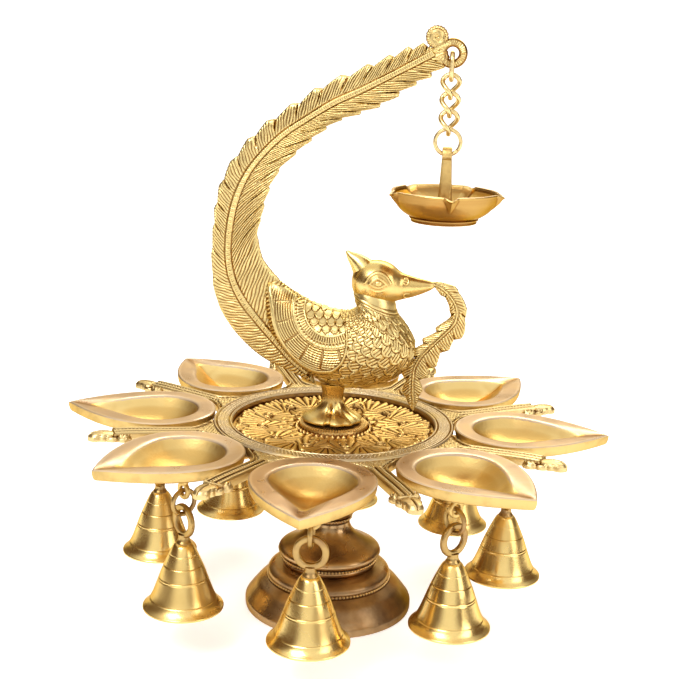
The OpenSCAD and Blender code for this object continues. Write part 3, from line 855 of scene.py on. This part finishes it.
def split_ring():
    """Ring of bent wire whose ends pass each other at the lower right."""
    a = np.radians(np.linspace(-34, 320, 80))
    slip = np.linspace(-0.45, 0.45, 80)
    path = np.stack([LOOP_X + 6.4 * np.cos(a), slip, SPLIT_Z + 6.4 * np.sin(a)], 1)
    shape = Shape()
    tube(shape, path, 0.97, 16)
    make_piece("split_ring_wire", shape, "split_ring_body", ["split_ring"], WIRE)


SPOUTS = 5
BOWL_TURN = math.radians(-10.5)
BOWL_FLOOR, BOWL_RIM = 218.6, 230.5


def bowl_skin():
    """Rings of the bowl from the middle of its floor out, over the lip and down to its foot."""
    count = 480
    a = round_angles(count)
    unit = unit_circle(count)
    off = (a - BOWL_TURN) / (2 * PI / SPOUTS) % 1
    off = np.minimum(off, 1 - off) * 2 * PI / SPOUTS * 28
    spout = np.exp(-(off / 2.2) ** 2)
    swell = 1.1 * np.exp(-(off / 5.5) ** 1.4)
    beak = 2.4 * np.clip(1 - off / 3.8, 0, 1) ** 0.8
    lip = 27.2 + swell + beak
    top = BOWL_RIM - 1.3 * spout
    rings = []
    for q in np.linspace(0.16, 0.93, 24):
        z = BOWL_FLOOR + (top - 0.6 - BOWL_FLOOR) * q ** 2.2 - spout * 0.8 * ease(q, 0.5, 0.9)
        rings.append((q * (26 + (lip - 26) * q ** 3), z))
    for q, drop in ((0.945, 0.25), (0.965, 0), (0.99, 0.15), (1, 0.6)):
        rings.append((lip * q, top - drop))
    outside = smooth_line([[0.995, 229.0], [0.985, 227.6], [0.95, 224.9], [0.86, 221.2],
                           [0.76, 218.9], [0.66, 217.4]], 7)
    for q, z in outside:
        height = np.minimum(z, top - 0.9 - (229.2 - z) * 0.3)
        climb = np.clip((z - 221.8) / 7.4, 0, 1)
        facet = 2.4 * climb * np.clip(1 - off / (0.3 + 3.6 * climb), 0, 1) ** 0.8
        rings.append((q * (27.0 + swell * ease(z, 219, 229.5)) + facet, height))
    foot = [(17.3, 217.1), (17.7, 216.7), (17.6, 216.3), (16.8, 215.9), (16.6, 215.4),
            (16.9, 215), (16.7, 214.6), (16.2, 214.5), (13, 214.5), (12.6, 215.3), (4, 215.3)]
    for r, z in foot:
        rings.append((np.full(count, r), z))
    return np.array([level(r[:, None] * unit, z) for r, z in rings])


def hanging_bowl():
    """The five-spouted bowl, and its post with the eye for the split ring."""
    shape, post = Shape(), Shape()
    loft(shape, bowl_skin())
    block(post, [((0, 0, z), hx, hy) for z, hx, hy in (
        (217.8, 4.6, 4.6), (219.2, 4.3, 4.3), (220.6, 3.8, 4.0), (232, 3.2, 3.8), (240, 2.8, 3.75),
        (243.6, 2.65, 3.7), (246.2, 2.5, 3.75))])
    band(post, (0, 0, EYE_Z), 2.85, 1.0, 2.45, 5, 40)
    shape, post = (part.moved(lambda p: p + [LOOP_X, 0, 0]) for part in (shape, post))
    bowl = make_piece("hanging_bowl_cast", shape, "hanging_bowl_body", ["hanging_bowl"],
                      BOWL, sharp=30)
    # The bowl's rim also gets the paler painted-reflection material.
    bowl.data.materials.append(RIM_REFLECTION)
    bowl.data.materials.append(DISH)
    paint_top(bowl, 229.0, 217.5)
    make_piece("hanging_bowl_post", post, "hanging_bowl_body", [], DISH, sharp=30)


# ---- peacock

# Tail from rump to tip: outer edge, rachis and inner edge, matched across
TAIL = [
    ((-10, 124), (-15, 130), (-10, 140)), ((-24, 131), (-24, 138), (-16, 150)),
    ((-38, 137), (-33, 148), (-20, 160)), ((-50, 146.5), (-42, 158), (-24, 170)),
    ((-60, 159), (-50, 168), (-32, 181)), ((-65.5, 173), (-55.5, 179), (-39.5, 190)),
    ((-67, 191), (-57.8, 191), (-43, 203)), ((-66.3, 206), (-57.5, 204), (-41, 213)),
    ((-65, 219), (-55, 219), (-38.5, 224)), ((-61, 233), (-49.5, 233), (-33, 236)),
    ((-52, 247.5), (-41.5, 244), (-24, 246)), ((-40, 260), (-31, 254.5), (-14, 255)),
    ((-25, 271), (-19, 263), (-4, 262.5)), ((-10, 281), (-6, 271.5), (8, 267.3)),
    ((6, 288.5), (7, 278), (20, 272.7)), ((20, 295), (20, 285), (32, 281)),
    ((32, 300.5), (32.5, 292), (42, 287)), ((41, 302.5), (43, 298), (49.5, 293)),
]

GARLAND = [
    ((47.4, 183.3), (47.2, 182), (47, 180.8)), ((51.5, 183.4), (50.6, 181.5), (49.8, 179.9)),
    ((56, 182.4), (53.8, 179.8), (52.4, 177.4)),
    ((61.5, 180), (57.8, 176.2), (55, 175)), ((65.5, 173.5), (61.3, 171), (58.2, 170)),
    ((67.2, 165), (62, 165.5), (58, 165)), ((66.5, 157), (59.8, 160), (53.5, 160.5)),
    ((61.5, 151.5), (54.8, 154.3), (49.5, 155.5)), ((57, 146), (48.9, 147.8), (43.5, 150)),
    ((52.5, 139.5), (44, 142), (40, 143.5)), ((49.5, 134.5), (41.4, 136), (37, 136.5)),
    ((46.4, 130), (41, 130), (35.6, 129.5)), ((45.6, 124), (41.2, 123.6), (36.4, 123)),
    ((43.9, 118), (41.8, 117.4), (38.8, 117.8)), ((42.3, 113.9), (41.9, 113.4), (41.4, 113.8)),
]


def blade(shape, stations, rows, columns, thick, lean, barbs, rise, lobe, notch, rib, ticks):
    """A feather or leaf from stations of (outer edge, rib, inner edge) points in the XZ plane.

    lean is how far a barb runs forward for each millimetre outwards, barbs the pitch of the barbs
    on the outer and on the inner side, lobe the length of the lobes that the edge is cut into,
    notch the depth of the cuts at the start and at the end and the share of the length from which
    they fade out, rib the half width of the flat rib and ticks the pitch of the cuts across it.
    """
    sets = np.array(stations, float)
    rib_line = smooth_line(sets[:, 1], 24)
    along = run_length(rib_line)
    want = np.linspace(0, along[-1], rows)
    outer, mid, inner = (sampled(smooth_line(sets[:, k], 24), along, want) for k in range(3))
    share = np.linspace(0, 1, columns)[None, :]
    t = (want / want[-1])[:, None]
    cut = notch[0] + (notch[1] - notch[0]) * ease(t, 0.15, 0.75)
    cut = cut * (1 - 0.85 * ease(t, notch[2], notch[2] + 0.06))
    run = want[:, None]
    sheets = []
    for edge, barb in ((outer, barbs[0]), (inner, barbs[1])):
        reach = np.linalg.norm(edge - mid, axis=1)[:, None]
        m = share * reach
        lag = run - lean * m
        part = lag / lobe % 1
        bulge = np.minimum(part / 0.72, (1 - part) / 0.28) ** 0.8
        serration = 0.16 * np.abs(np.cos(PI * lag / barb)) * ease(share, 0.5, 1)
        m = m + (cut * (bulge - 0.62) + serration) * ease(share, 0.3, 1)
        m = np.maximum(m, 0.05 * share * reach)
        lag = run - lean * m
        part = lag / lobe % 1
        direction = (edge - mid) / np.maximum(reach, 1e-6)
        flat = mid[:, None] + direction[:, None] * m[..., None]
        cover = ease(m, rib + 0.1, rib + 0.8) * ease(1 - share, 0.0, 0.05)
        wave = np.abs(np.cos(PI * (lag + 0.25 * np.sin(run * 0.9)) / barb)) ** 0.8
        deep = 0.75 + 0.25 * np.cos(lag * 1.15) * np.cos(run * 0.31 + m * 0.4)
        split = ridge(np.minimum(part, 1 - part) * lobe, 0.5) * ease(share, 0.35, 0.65)
        y = thick * (1 - 0.35 * share ** 2) + rise * cover * (wave * deep - 0.55)
        y = y + 0.8 * rise * (part - 0.5) * ease(cut, 0.2, 0.9) * ease(share, 0.3, 0.9)
        y = y - 1.1 * rise * split * cover * ease(cut, 0.2, 0.9)
        flank = ease(rib - m, 0, 0.35)
        tick = np.abs(np.sin(PI * run / ticks)) ** 0.6 * ease(rib - m, 0.3, 0.6)
        y = np.where(m < rib, thick * 0.85 + flank * min(rib, 1) * (0.5 + 0.3 * tick), y)
        y = y - 0.5 * rise * ridge(m - rib - 0.3, 0.45)
        y = y * np.sqrt(np.clip(1 - share ** 12, 0.03, 1))
        sheets.append(level(flat, y)[..., [0, 2, 1]])
    skin = np.concatenate([sheets[0][:, ::-1], sheets[1][:, 1:]], 1)
    loft(shape, np.concatenate([skin * [1, -1, 1], skin[:, ::-1]], 1))


def peacock_tail():
    """The long feathered tail that curls forward over the peacock's head."""
    shape = Shape()
    blade(shape, TAIL, rows=900, columns=36, thick=2.3, lean=0.85, barbs=(1.65, 2.3), rise=0.8,
          lobe=12, notch=(0.1, 2.5, 1.0), rib=1.75, ticks=1.15)
    make_piece("peacock_tail_feathers", shape, "stand", ["peacock_tail"], FEATHER,
               sharp=60, gain=2.6)


def tail_scroll():
    """The tail's end: the loop that holds the chain, its stalk, a small leaf and a curled one."""
    ends, loop, side, disc = Shape(), Shape(), Shape(), Shape()
    unit = unit_circle(160)
    loft(loop, np.concatenate([loop_face(unit, 1), loop_face(unit, -1)[::-1]]), True)
    ends.join(loop.moved(lambda p: p[:, [0, 2, 1]] + [LOOP_X, 0, LOOP_Z]))
    crook = smooth_line([(33, 0, 292.6), (38.5, 0, 296), (43.5, 0, 299.4), (47, 0, 301.8),
                         (50.5, 0, 303.2)], 14)
    ticks = 0.15 * np.cos(run_length(crook) * 2 * PI / 1.2)
    tube(ends, crook, 1.9 + ticks, 20)
    for flat, top, rows, size, frill, count, at in (
            (side, leaf_top, 16, 4.3, 0.06, 9, [46.6, 0, 296.4]),
            (disc, knob_top, 26, 5.6, 0.03, 20, [44.5, 0, 306.0])):
        edge = unit_circle(80) * size * (1 + frill * np.cos(round_angles(80) * count))[:, None]
        rings = np.linspace(0.05, 1, rows)[:, None, None] * edge
        plate(flat, rings, top, lambda x, y: -top(x, y), 1)
        ends.join(flat.moved(lambda p: p[:, [0, 2, 1]] + at))
    make_piece("tail_scroll", ends, "stand", [], FEATHER, gain=1.7)


def loop_face(unit, side):
    """One face of the flat ring at the tail's end, cut across all the way round."""
    share = np.linspace(0, 1, 18)[:, None, None]
    a = round_angles(len(unit))[:, None]
    r = 3.1 + 4.3 * share
    hatch = 0.3 * np.abs(np.sin(a * 17)) ** 0.6 * ease(r, 3.9, 4.6) * ease(-r, -7.0, -6.4)
    line = 0.25 * (ridge(r - 4.0, 0.45) + ridge(r - 6.8, 0.4))
    round_edge = np.sqrt(np.clip(1 - (2 * share - 1) ** 4, 0, 1))
    height = side * (1.45 + hatch + line) * round_edge
    return level(r * unit, height[..., 0])


def leaf_top(x, y):
    """Half thickness of the small leaf below the loop: barbs that spread from its stalk."""
    turn = np.arctan2(y - 3, x - 3)
    barbs = 0.35 * np.abs(np.sin(turn * 8)) ** 0.7
    return (1.5 + barbs) * np.sqrt(np.clip(1 - (np.hypot(x, y) / 4.5) ** 6, 0.05, 1))


def knob_top(x, y):
    """Half thickness of the curled leaf at the tail's end: a spiral and a hatched edge."""
    r, a = np.hypot(x, y), np.arctan2(y, x)
    spiral = ridge(((r / 2.7 - a / (2 * PI)) % 1 - 0.5) * 2.7, 1.0) * ease(-r, -4.6, -3.8)
    hatch = 0.4 * np.abs(np.sin(a * 12 + r)) ** 0.7 * ease(r, 3.6, 4.2)
    return (1.35 + 0.5 * spiral + hatch) * np.sqrt(np.clip(1 - (r / 5.95) ** 6, 0.05, 1))


def garland():
    """The leaf spray that the peacock holds in its beak."""
    shape = Shape()
    blade(shape, GARLAND, rows=330, columns=26, thick=1.8, lean=0.7, barbs=(1.5, 1.6), rise=0.6,
          lobe=10.5, notch=(1.0, 3.6, 0.84), rib=0.7, ticks=2)
    make_piece("garland_leaves", shape, "stand", ["garland"], FEATHER, sharp=60)


def peacock_foot():
    """Slim stem on two spread toes: one smooth, the other fluted, with a cleft between them."""
    profile = np.vstack([
        [[14.6, 105.7], [15.2, 106.2], [15.2, 107.0], [14.4, 107.8]],
        smooth_line([[12.6, 109.0], [9.4, 110.8], [7.2, 113], [6.0, 115.8], [5.6, 118.8], [5.9, 122],
                     [7.2, 126]], 9),
    ])

    def push(a, r, z):
        flare = ease(-z, -117, -108)
        fluted = ease(np.cos(a + 0.25), 0.02, 0.2)
        flutes = (0.5 + 0.5 * np.cos(12 * a)) * fluted
        cleft = ridge(np.abs(np.cos(a + 0.1)) * r, 1.6)
        toes = 1.6 * np.abs(np.cos(a + 0.1)) - 0.7
        return flare * (toes - 0.9 * flutes - 2.0 * cleft)

    shape = Shape()
    lathe(shape, profile, 200, (-1, 0), push=push)
    make_piece("peacock_foot_flared", shape, "stand", ["peacock_foot"], POLISHED)


BODY = [
    ((-38.3, 171), (-36.5, 179), 2.6), ((-37.6, 163), (-31, 179.5), 5.5),
    ((-35.6, 155), (-25, 175), 8.8), ((-31.8, 147.5), (-19, 171), 11.6),
    ((-25.5, 140), (-13, 168), 13.8), ((-19, 134.4), (-8, 166.4), 15.4),
    ((-12, 129.8), (-4, 165.4), 16.6), ((-4, 126.6), (0, 164.8), 17.4),
    ((5, 125), (3, 164.7), 18), ((13, 125.6), (5, 164.8), 18.5),
    ((23, 127.8), (7, 165.3), 18.8), ((31.5, 131.6), (8, 165.8), 18.8),
    ((38, 137.5), (9, 166.3), 18.4), ((41.2, 145), (9.8, 167), 17.4),
    ((40.2, 152), (10.2, 168), 15.8), ((36.2, 158.5), (10, 169.6), 14.2),
    ((33, 162.5), (9.2, 172), 12.9), ((31, 166.5), (8.2, 175), 11.9),
    ((30.2, 170.6), (8.2, 178), 10.7), ((28.5, 174.6), (9.6, 181), 9.2),
]

WING_MID = (-2.5, 169.0)
WING_EDGE = [(-198, 36.5), (-185, 33), (-174, 31.7), (-152, 32.2), (-132, 33.6), (-116, 35),
             (-100, 35.2), (-86, 33.3), (-76, 29.5), (-70, 26), (-62, 21), (-50, 14)]


def scales(u, v, tall, rise, barbs):
    """Overlapping rounded scales, tips towards +u. u counts rows and v counts scales across."""
    row = np.floor(u)
    out = np.full(np.shape(u), np.nan)
    for back in (1, 0):
        k = row - back
        a = ((v + 0.5 * (k % 2)) % 1 - 0.5) * 2
        edge = k + 1 + tall * np.sqrt(np.clip(1 - a * a, 0, 1))
        s = edge - u
        here = (s > 0) & np.isnan(out)
        rays = np.abs(np.sin(barbs * PI / 2 * (a + 1)))
        h = 0.8 * (1 - s / (1 + tall)) + 0.2 * ridge(s - 0.16, 0.14)
        h = h - 0.45 * (1 - rays) ** 2 * ease(s, 0.26, 0.36) * (1 - a ** 4)
        h = h - 0.9 * (1 - ease(s, 0, 0.1))
        out = np.where(here, h, out)
    return rise * np.nan_to_num(out)


def wing_relief(x, z):
    """The folded wing on a flank: small scales inside a ribbed band, panels of barbs outside."""
    dx, dz = x - WING_MID[0], z - WING_MID[1]
    r = np.hypot(dx, dz)
    turn = np.degrees(np.arctan2(dz, dx))
    turn = np.where(turn > 60, turn - 360, turn)
    limit = np.interp(turn, *np.array(WING_EDGE).T)
    h = scales((176.4 - z) / 3.0, x / 4.4, 0.8, 1.3, 1)
    arc = np.radians(turn)
    band_rib = 0.2 + 0.6 * (0.5 + 0.5 * np.cos(arc * 17.2 * 2 * PI / 1.3))
    dots = 0.9 * ridge(np.hypot((arc * 18.4 / 1.7 % 1 - 0.5) * 1.7, r - 18.4), 0.6)
    h = np.where(r > 13.8, 0.9 * ridge(r - 14.4, 0.6), h)
    h = np.where(r > 15.0, band_rib, h)
    h = np.where(r > 17.6, 0.6 - dots, h)
    h = np.where(r > 19.2, 0.1 + 0.7 * ridge(r - 19.8, 0.6), h)
    panel = (turn + 97) / 21.3 % 1
    gap_mm = np.minimum(panel, 1 - panel) * np.radians(21.3) * r
    barbs = 0.35 + 0.4 * np.cos(2 * PI * r / 1.3)
    barbs = barbs - 1.4 * ridge(gap_mm, 0.6) * ease(r, 20.5, 21.5) * ease(limit - r, 2.6, 3.4)
    h = np.where(r > 20.4, barbs, h)
    h = np.where(r > limit - 2.4, 0.0, h)
    h = np.maximum(h, 1.0 * ridge(r - limit + 1.0, 1.1) * (r < limit))
    inside = (r < limit) & (turn < -48) & (turn > -196)
    return h * ease(turn, -196, -188), inside


def body_grid(rows, columns):
    """Points of the plain body, with each point's place along it and round it, from 0 to 1."""
    lines = smooth_line([[*low, *high, half] for low, high, half in BODY], 30)
    along = run_length((lines[:, :2] * 2 + lines[:, 2:4]) / 3)
    want = np.linspace(0, along[-1], rows)
    lines = sampled(lines, along, want)
    keel, back, half = lines[:, :2], lines[:, 2:4], lines[:, 4]
    a = round_angles(columns)
    share = (1 - np.cos(a)) / 2
    flat = keel[:, None] * (1 - share)[None, :, None] + back[:, None] * share[None, :, None]
    y = half[:, None] * blunt(np.sin(a), 0.92)
    return level(flat, y)[..., [0, 2, 1]], want / want[-1], a / (2 * PI)


def peacock_body():
    """The torso: scaly breast, a folded wing on each flank, streaks on the rump, a bare neck."""
    rows, columns = 330, 340
    grid, t, around = body_grid(rows, columns)
    t, around = np.broadcast_arrays(t[:, None], around[None, :])
    x, z = grid[..., 0], grid[..., 2]
    breast = scales(23 * (1 - t), around * 19, 0.85, 0.9, 4)
    gorget = scales(8 * (1 - t) / 0.25, around * 13, 1.2, 0.7, 2)
    breast = breast + (gorget - breast) * ease(t, 0.80, 0.82)
    wing, inside = wing_relief(x, z)
    inside = inside & (np.abs(grid[..., 1]) > 1.0)
    height = np.where(inside, 0.75 * wing + 0.45, breast)
    flank = ease(np.abs(grid[..., 1]), 1, 3.5)
    height = height * (1 - ease(t, 0.905, 0.915)) * (0.25 + 0.75 * flank)
    rump = ease(-x, 6, 12) * ~inside
    streaks = 0.3 * np.cos(2 * PI * (x * 0.75 - z) / 2.4)
    height = np.where(rump > 0, height * (1 - rump) + streaks * rump, height)
    height = height + 0.3 * ridge(t - 0.935, 0.006) + 0.3 * ridge(t - 0.918, 0.006)
    shape = Shape()
    loft(shape, displaced(grid, height))
    make_piece("peacock_torso", shape, "stand", ["peacock_body"], FEATHER, sharp=60)


HEAD = [
    (6.9, 180.2, 182.8, 1.2), (7.4, 177.2, 185.8, 4.2), (9.2, 173.6, 188.9, 7.2),
    (12.2, 170.9, 191.3, 9.6), (16, 169.6, 192.6, 11.2), (20, 169.2, 193.0, 11.8),
    (24, 169.7, 192.4, 11.3), (27.5, 170.9, 190.9, 10.0), (30.2, 172.0, 188.8, 8.2),
    (32.2, 172.6, 187.4, 6.6), (33.6, 173.0, 186.8, 5.8), (35.5, 173.6, 186.2, 5.3),
    (38.8, 174.6, 185.3, 4.6), (42.5, 176.0, 184.4, 3.8), (45.5, 177.4, 183.8, 3.1),
    (47.8, 178.6, 183.2, 2.5), (49.4, 179.8, 182.6, 1.6), (50.2, 180.6, 181.9, 0.7),
]


def head_relief(x, z):
    """Almond eye under a brow, a line where the beak starts, nostril curls and the mouth.

    wire draws a raised line, and lid one of the eye, which is drawn larger and then made smaller.
    """
    def wire(points, wide, high):
        return high * ridge(line_distance(x, z, points), wide)

    def lid(points, wide, high):
        near = line_distance(20.4 + (x - 21.2) / 0.78, 182.6 + (z - 182.9) / 0.78, points)
        return high * ridge(near, wide)

    brow = [(11.4, 182), (13.8, 185.6), (17.4, 188.6), (21.4, 189.2), (25.4, 187.2), (28.6, 183.0)]
    upper = [(14.2, 181.4), (16.8, 184), (19.6, 185.6), (22.2, 185.2), (24.6, 183.2), (26.2, 181.6)]
    lower = [(15.4, 181.6), (18, 180.2), (20.8, 179.8), (23.4, 180.6), (25.4, 181.8)]
    crease = [(15.2, 178.8), (18.4, 177.2), (21.2, 177.0), (24.4, 178)]
    h = lid(brow, 0.6, 0.3)
    for line, wide, high in ((upper, 0.55, 0.4), (lower, 0.5, 0.32), (crease, 0.5, 0.16)):
        h = np.maximum(h, lid(line, wide, high))
    h = np.maximum(h, 0.42 * ridge(np.hypot((x - 21.4) / 1.3, z - 182.7), 1.2))
    h = h - wire([(33.0, 172), (33.4, 178), (32.9, 183), (32.4, 188)], 0.5, 0.45)
    h = h - wire([(34, 176.2), (37, 177.2), (41, 178.8), (45.5, 180.4)], 0.4, 0.5)
    h = np.maximum(h, wire([(34.4, 184.6), (35.9, 184.4), (36.4, 183), (35.4, 182), (34.2, 182.4)],
                           0.4, 0.4))
    curled = wire([(36.6, 177.0), (34.6, 176.6), (34.4, 174.8), (36.4, 174.6)], 0.4, 0.35)
    return np.maximum(h, curled * (h >= 0))


def peacock_head():
    """The polished head and beak in one skin, and the crest behind them."""
    base = smooth_line(HEAD, 26)
    along = run_length(base[:, :3])
    want = np.linspace(0, along[-1], 240)
    x, low, high, wide = sampled(base, along, want).T
    a = round_angles(160)
    z = ((high + low) / 2)[:, None] + ((high - low) / 2)[:, None] * np.cos(a)
    y = wide[:, None] * np.sin(a)
    x = np.broadcast_to(x[:, None], z.shape)
    flank = ease(np.abs(y), 0.8, 2.2)
    shape = Shape()
    loft(shape, displaced(np.stack([x, y, z], -1), head_relief(x, z) * flank))
    crest = smooth_line([(15.5, 0, 184.5), (13.2, 0, 187.6), (9.6, 0, 191.4), (6.2, 0, 194.2),
                         (4.2, 0, 196.2)], 10)
    tube(shape, crest, smooth_line([[7.4], [6.5], [4.7], [2.7], [1.2]], 10)[:, 0], 32)
    make_piece("peacock_head_polished", shape, "stand", [], POLISHED, sharp=70)


# ---- stage

def stage():
    """A white floor that runs up into a backdrop. It glows faintly, so it stays white far away."""
    path = [(-6, 0), (7, 0), (8, 0.05), (8.6, 0.2), (8.9, 0.5), (9, 1)]
    points = [(x, y, z) for y, z in path for x in (-9, 9)]
    faces = [(2 * i, 2 * i + 1, 2 * i + 3, 2 * i + 2) for i in range(len(path) - 1)]
    floor = bpy.data.meshes.new("floor")
    floor.from_pydata(points, [], faces)
    look, tree, shader = plain_material("floor_white")
    for key, value in (
            ("Base Color", (0.9, 0.9, 0.9)), ("Roughness", 0.9), ("Specular IOR Level", 0.1),
            ("Emission Color", (1.0, 1.0, 1.0)), ("Emission Strength", 0.55)):
        join(tree, value, shader[key])
    floor.materials.append(look)
    placed("floor", floor)


def lamp(name, at, size, watts):
    """A soft rectangular light that looks at the middle of the lamp."""
    light = bpy.data.lights.new(name, "AREA")
    light.shape = "RECTANGLE"
    light.size, light.size_y = size
    light.energy = watts
    made = placed(name, light)
    middle = Vector((0, 0, 0.15))
    made.location = at
    made.rotation_euler = (middle - Vector(at)).to_track_quat("-Z", "Y").to_euler()


def world():
    """White studio, brown at the lower left and right in reflections but white behind the lamp."""
    made = bpy.data.worlds.new("studio")
    bpy.context.scene.world = made
    made.use_nodes = True
    tree = made.node_tree
    nodes, link = tree.nodes, tree.links.new
    place = nodes.new("ShaderNodeTexCoord")
    split = nodes.new("ShaderNodeSeparateXYZ")
    link(place.outputs["Generated"], split.inputs[0])
    aside = nodes.new("ShaderNodeMath")
    aside.operation = "ABSOLUTE"
    link(split.outputs["X"], aside.inputs[0])
    lower = nodes.new("ShaderNodeMath")
    lower.operation = "MULTIPLY_ADD"
    link(split.outputs["Z"], lower.inputs[0])
    lower.inputs[1].default_value = -0.45
    link(aside.outputs[0], lower.inputs[2])
    ramp = nodes.new("ShaderNodeValToRGB")
    ramp.color_ramp.interpolation = "EASE"
    stops = ramp.color_ramp.elements
    stops[0].position, stops[0].color = 0.16, (1, 1, 1, 1)
    stops[1].position, stops[1].color = 0.6, (0.13, 0.075, 0.035, 1)
    link(lower.outputs[0], ramp.inputs["Fac"])
    seen = nodes.new("ShaderNodeLightPath").outputs["Is Camera Ray"]
    background = nodes["Background"].inputs
    link(mixed(tree, seen, ramp.outputs["Color"], (1.0, 1.0, 1.0)), background["Color"])
    background["Strength"].default_value = 1.1


def camera():
    """The photograph's view: slightly above, nearly square on, the frame tipped by two degrees."""
    target, distance = Vector((1.5, 0, 149.56)) * MM, 0.67313
    rise, azimuth, roll = math.radians(14.17), math.radians(5.07), math.radians(2.05)
    back = Vector((math.sin(azimuth) * math.cos(rise), -math.cos(azimuth) * math.cos(rise),
                   math.sin(rise)))
    right = Vector((math.cos(azimuth), math.sin(azimuth), 0))
    up = back.cross(right)
    across = right * math.cos(roll) + up * math.sin(roll)
    upward = up * math.cos(roll) - right * math.sin(roll)
    view = Matrix((across, upward, back)).transposed().to_4x4()
    view.translation = target + back * distance
    lens = bpy.data.cameras.new("camera")
    lens.sensor_width, lens.lens = 36, 67.92
    made = placed("camera", lens)
    made.matrix_world = view
    bpy.context.scene.camera = made


def dress_hidden_nodes():
    """The rod, washer and nut, out of sight inside the lamp, keep their CAD shape."""
    for name in ("tie_rod", "washer", "nut"):
        node = frame["nodes"][name]
        node.data.materials.clear()
        node.data.materials.append(ROD)


camera()
pedestal_base()
pedestal_stem()
plate_ring()
medallion()
dishes()
bells()
chain()
split_ring()
hanging_bowl()
peacock_foot()
peacock_body()
peacock_head()
peacock_tail()
tail_scroll()
garland()
dress_hidden_nodes()
stage()
world()
lamp("key", (-0.5, -0.9, 1.3), (0.7, 0.7), 14)
lamp("fill", (1.1, -0.6, 0.7), (0.6, 0.9), 6)
lamp("back", (0.2, 1.2, 1.2), (1.2, 0.6), 10)
bpy.context.scene.view_settings.view_transform = "Standard"
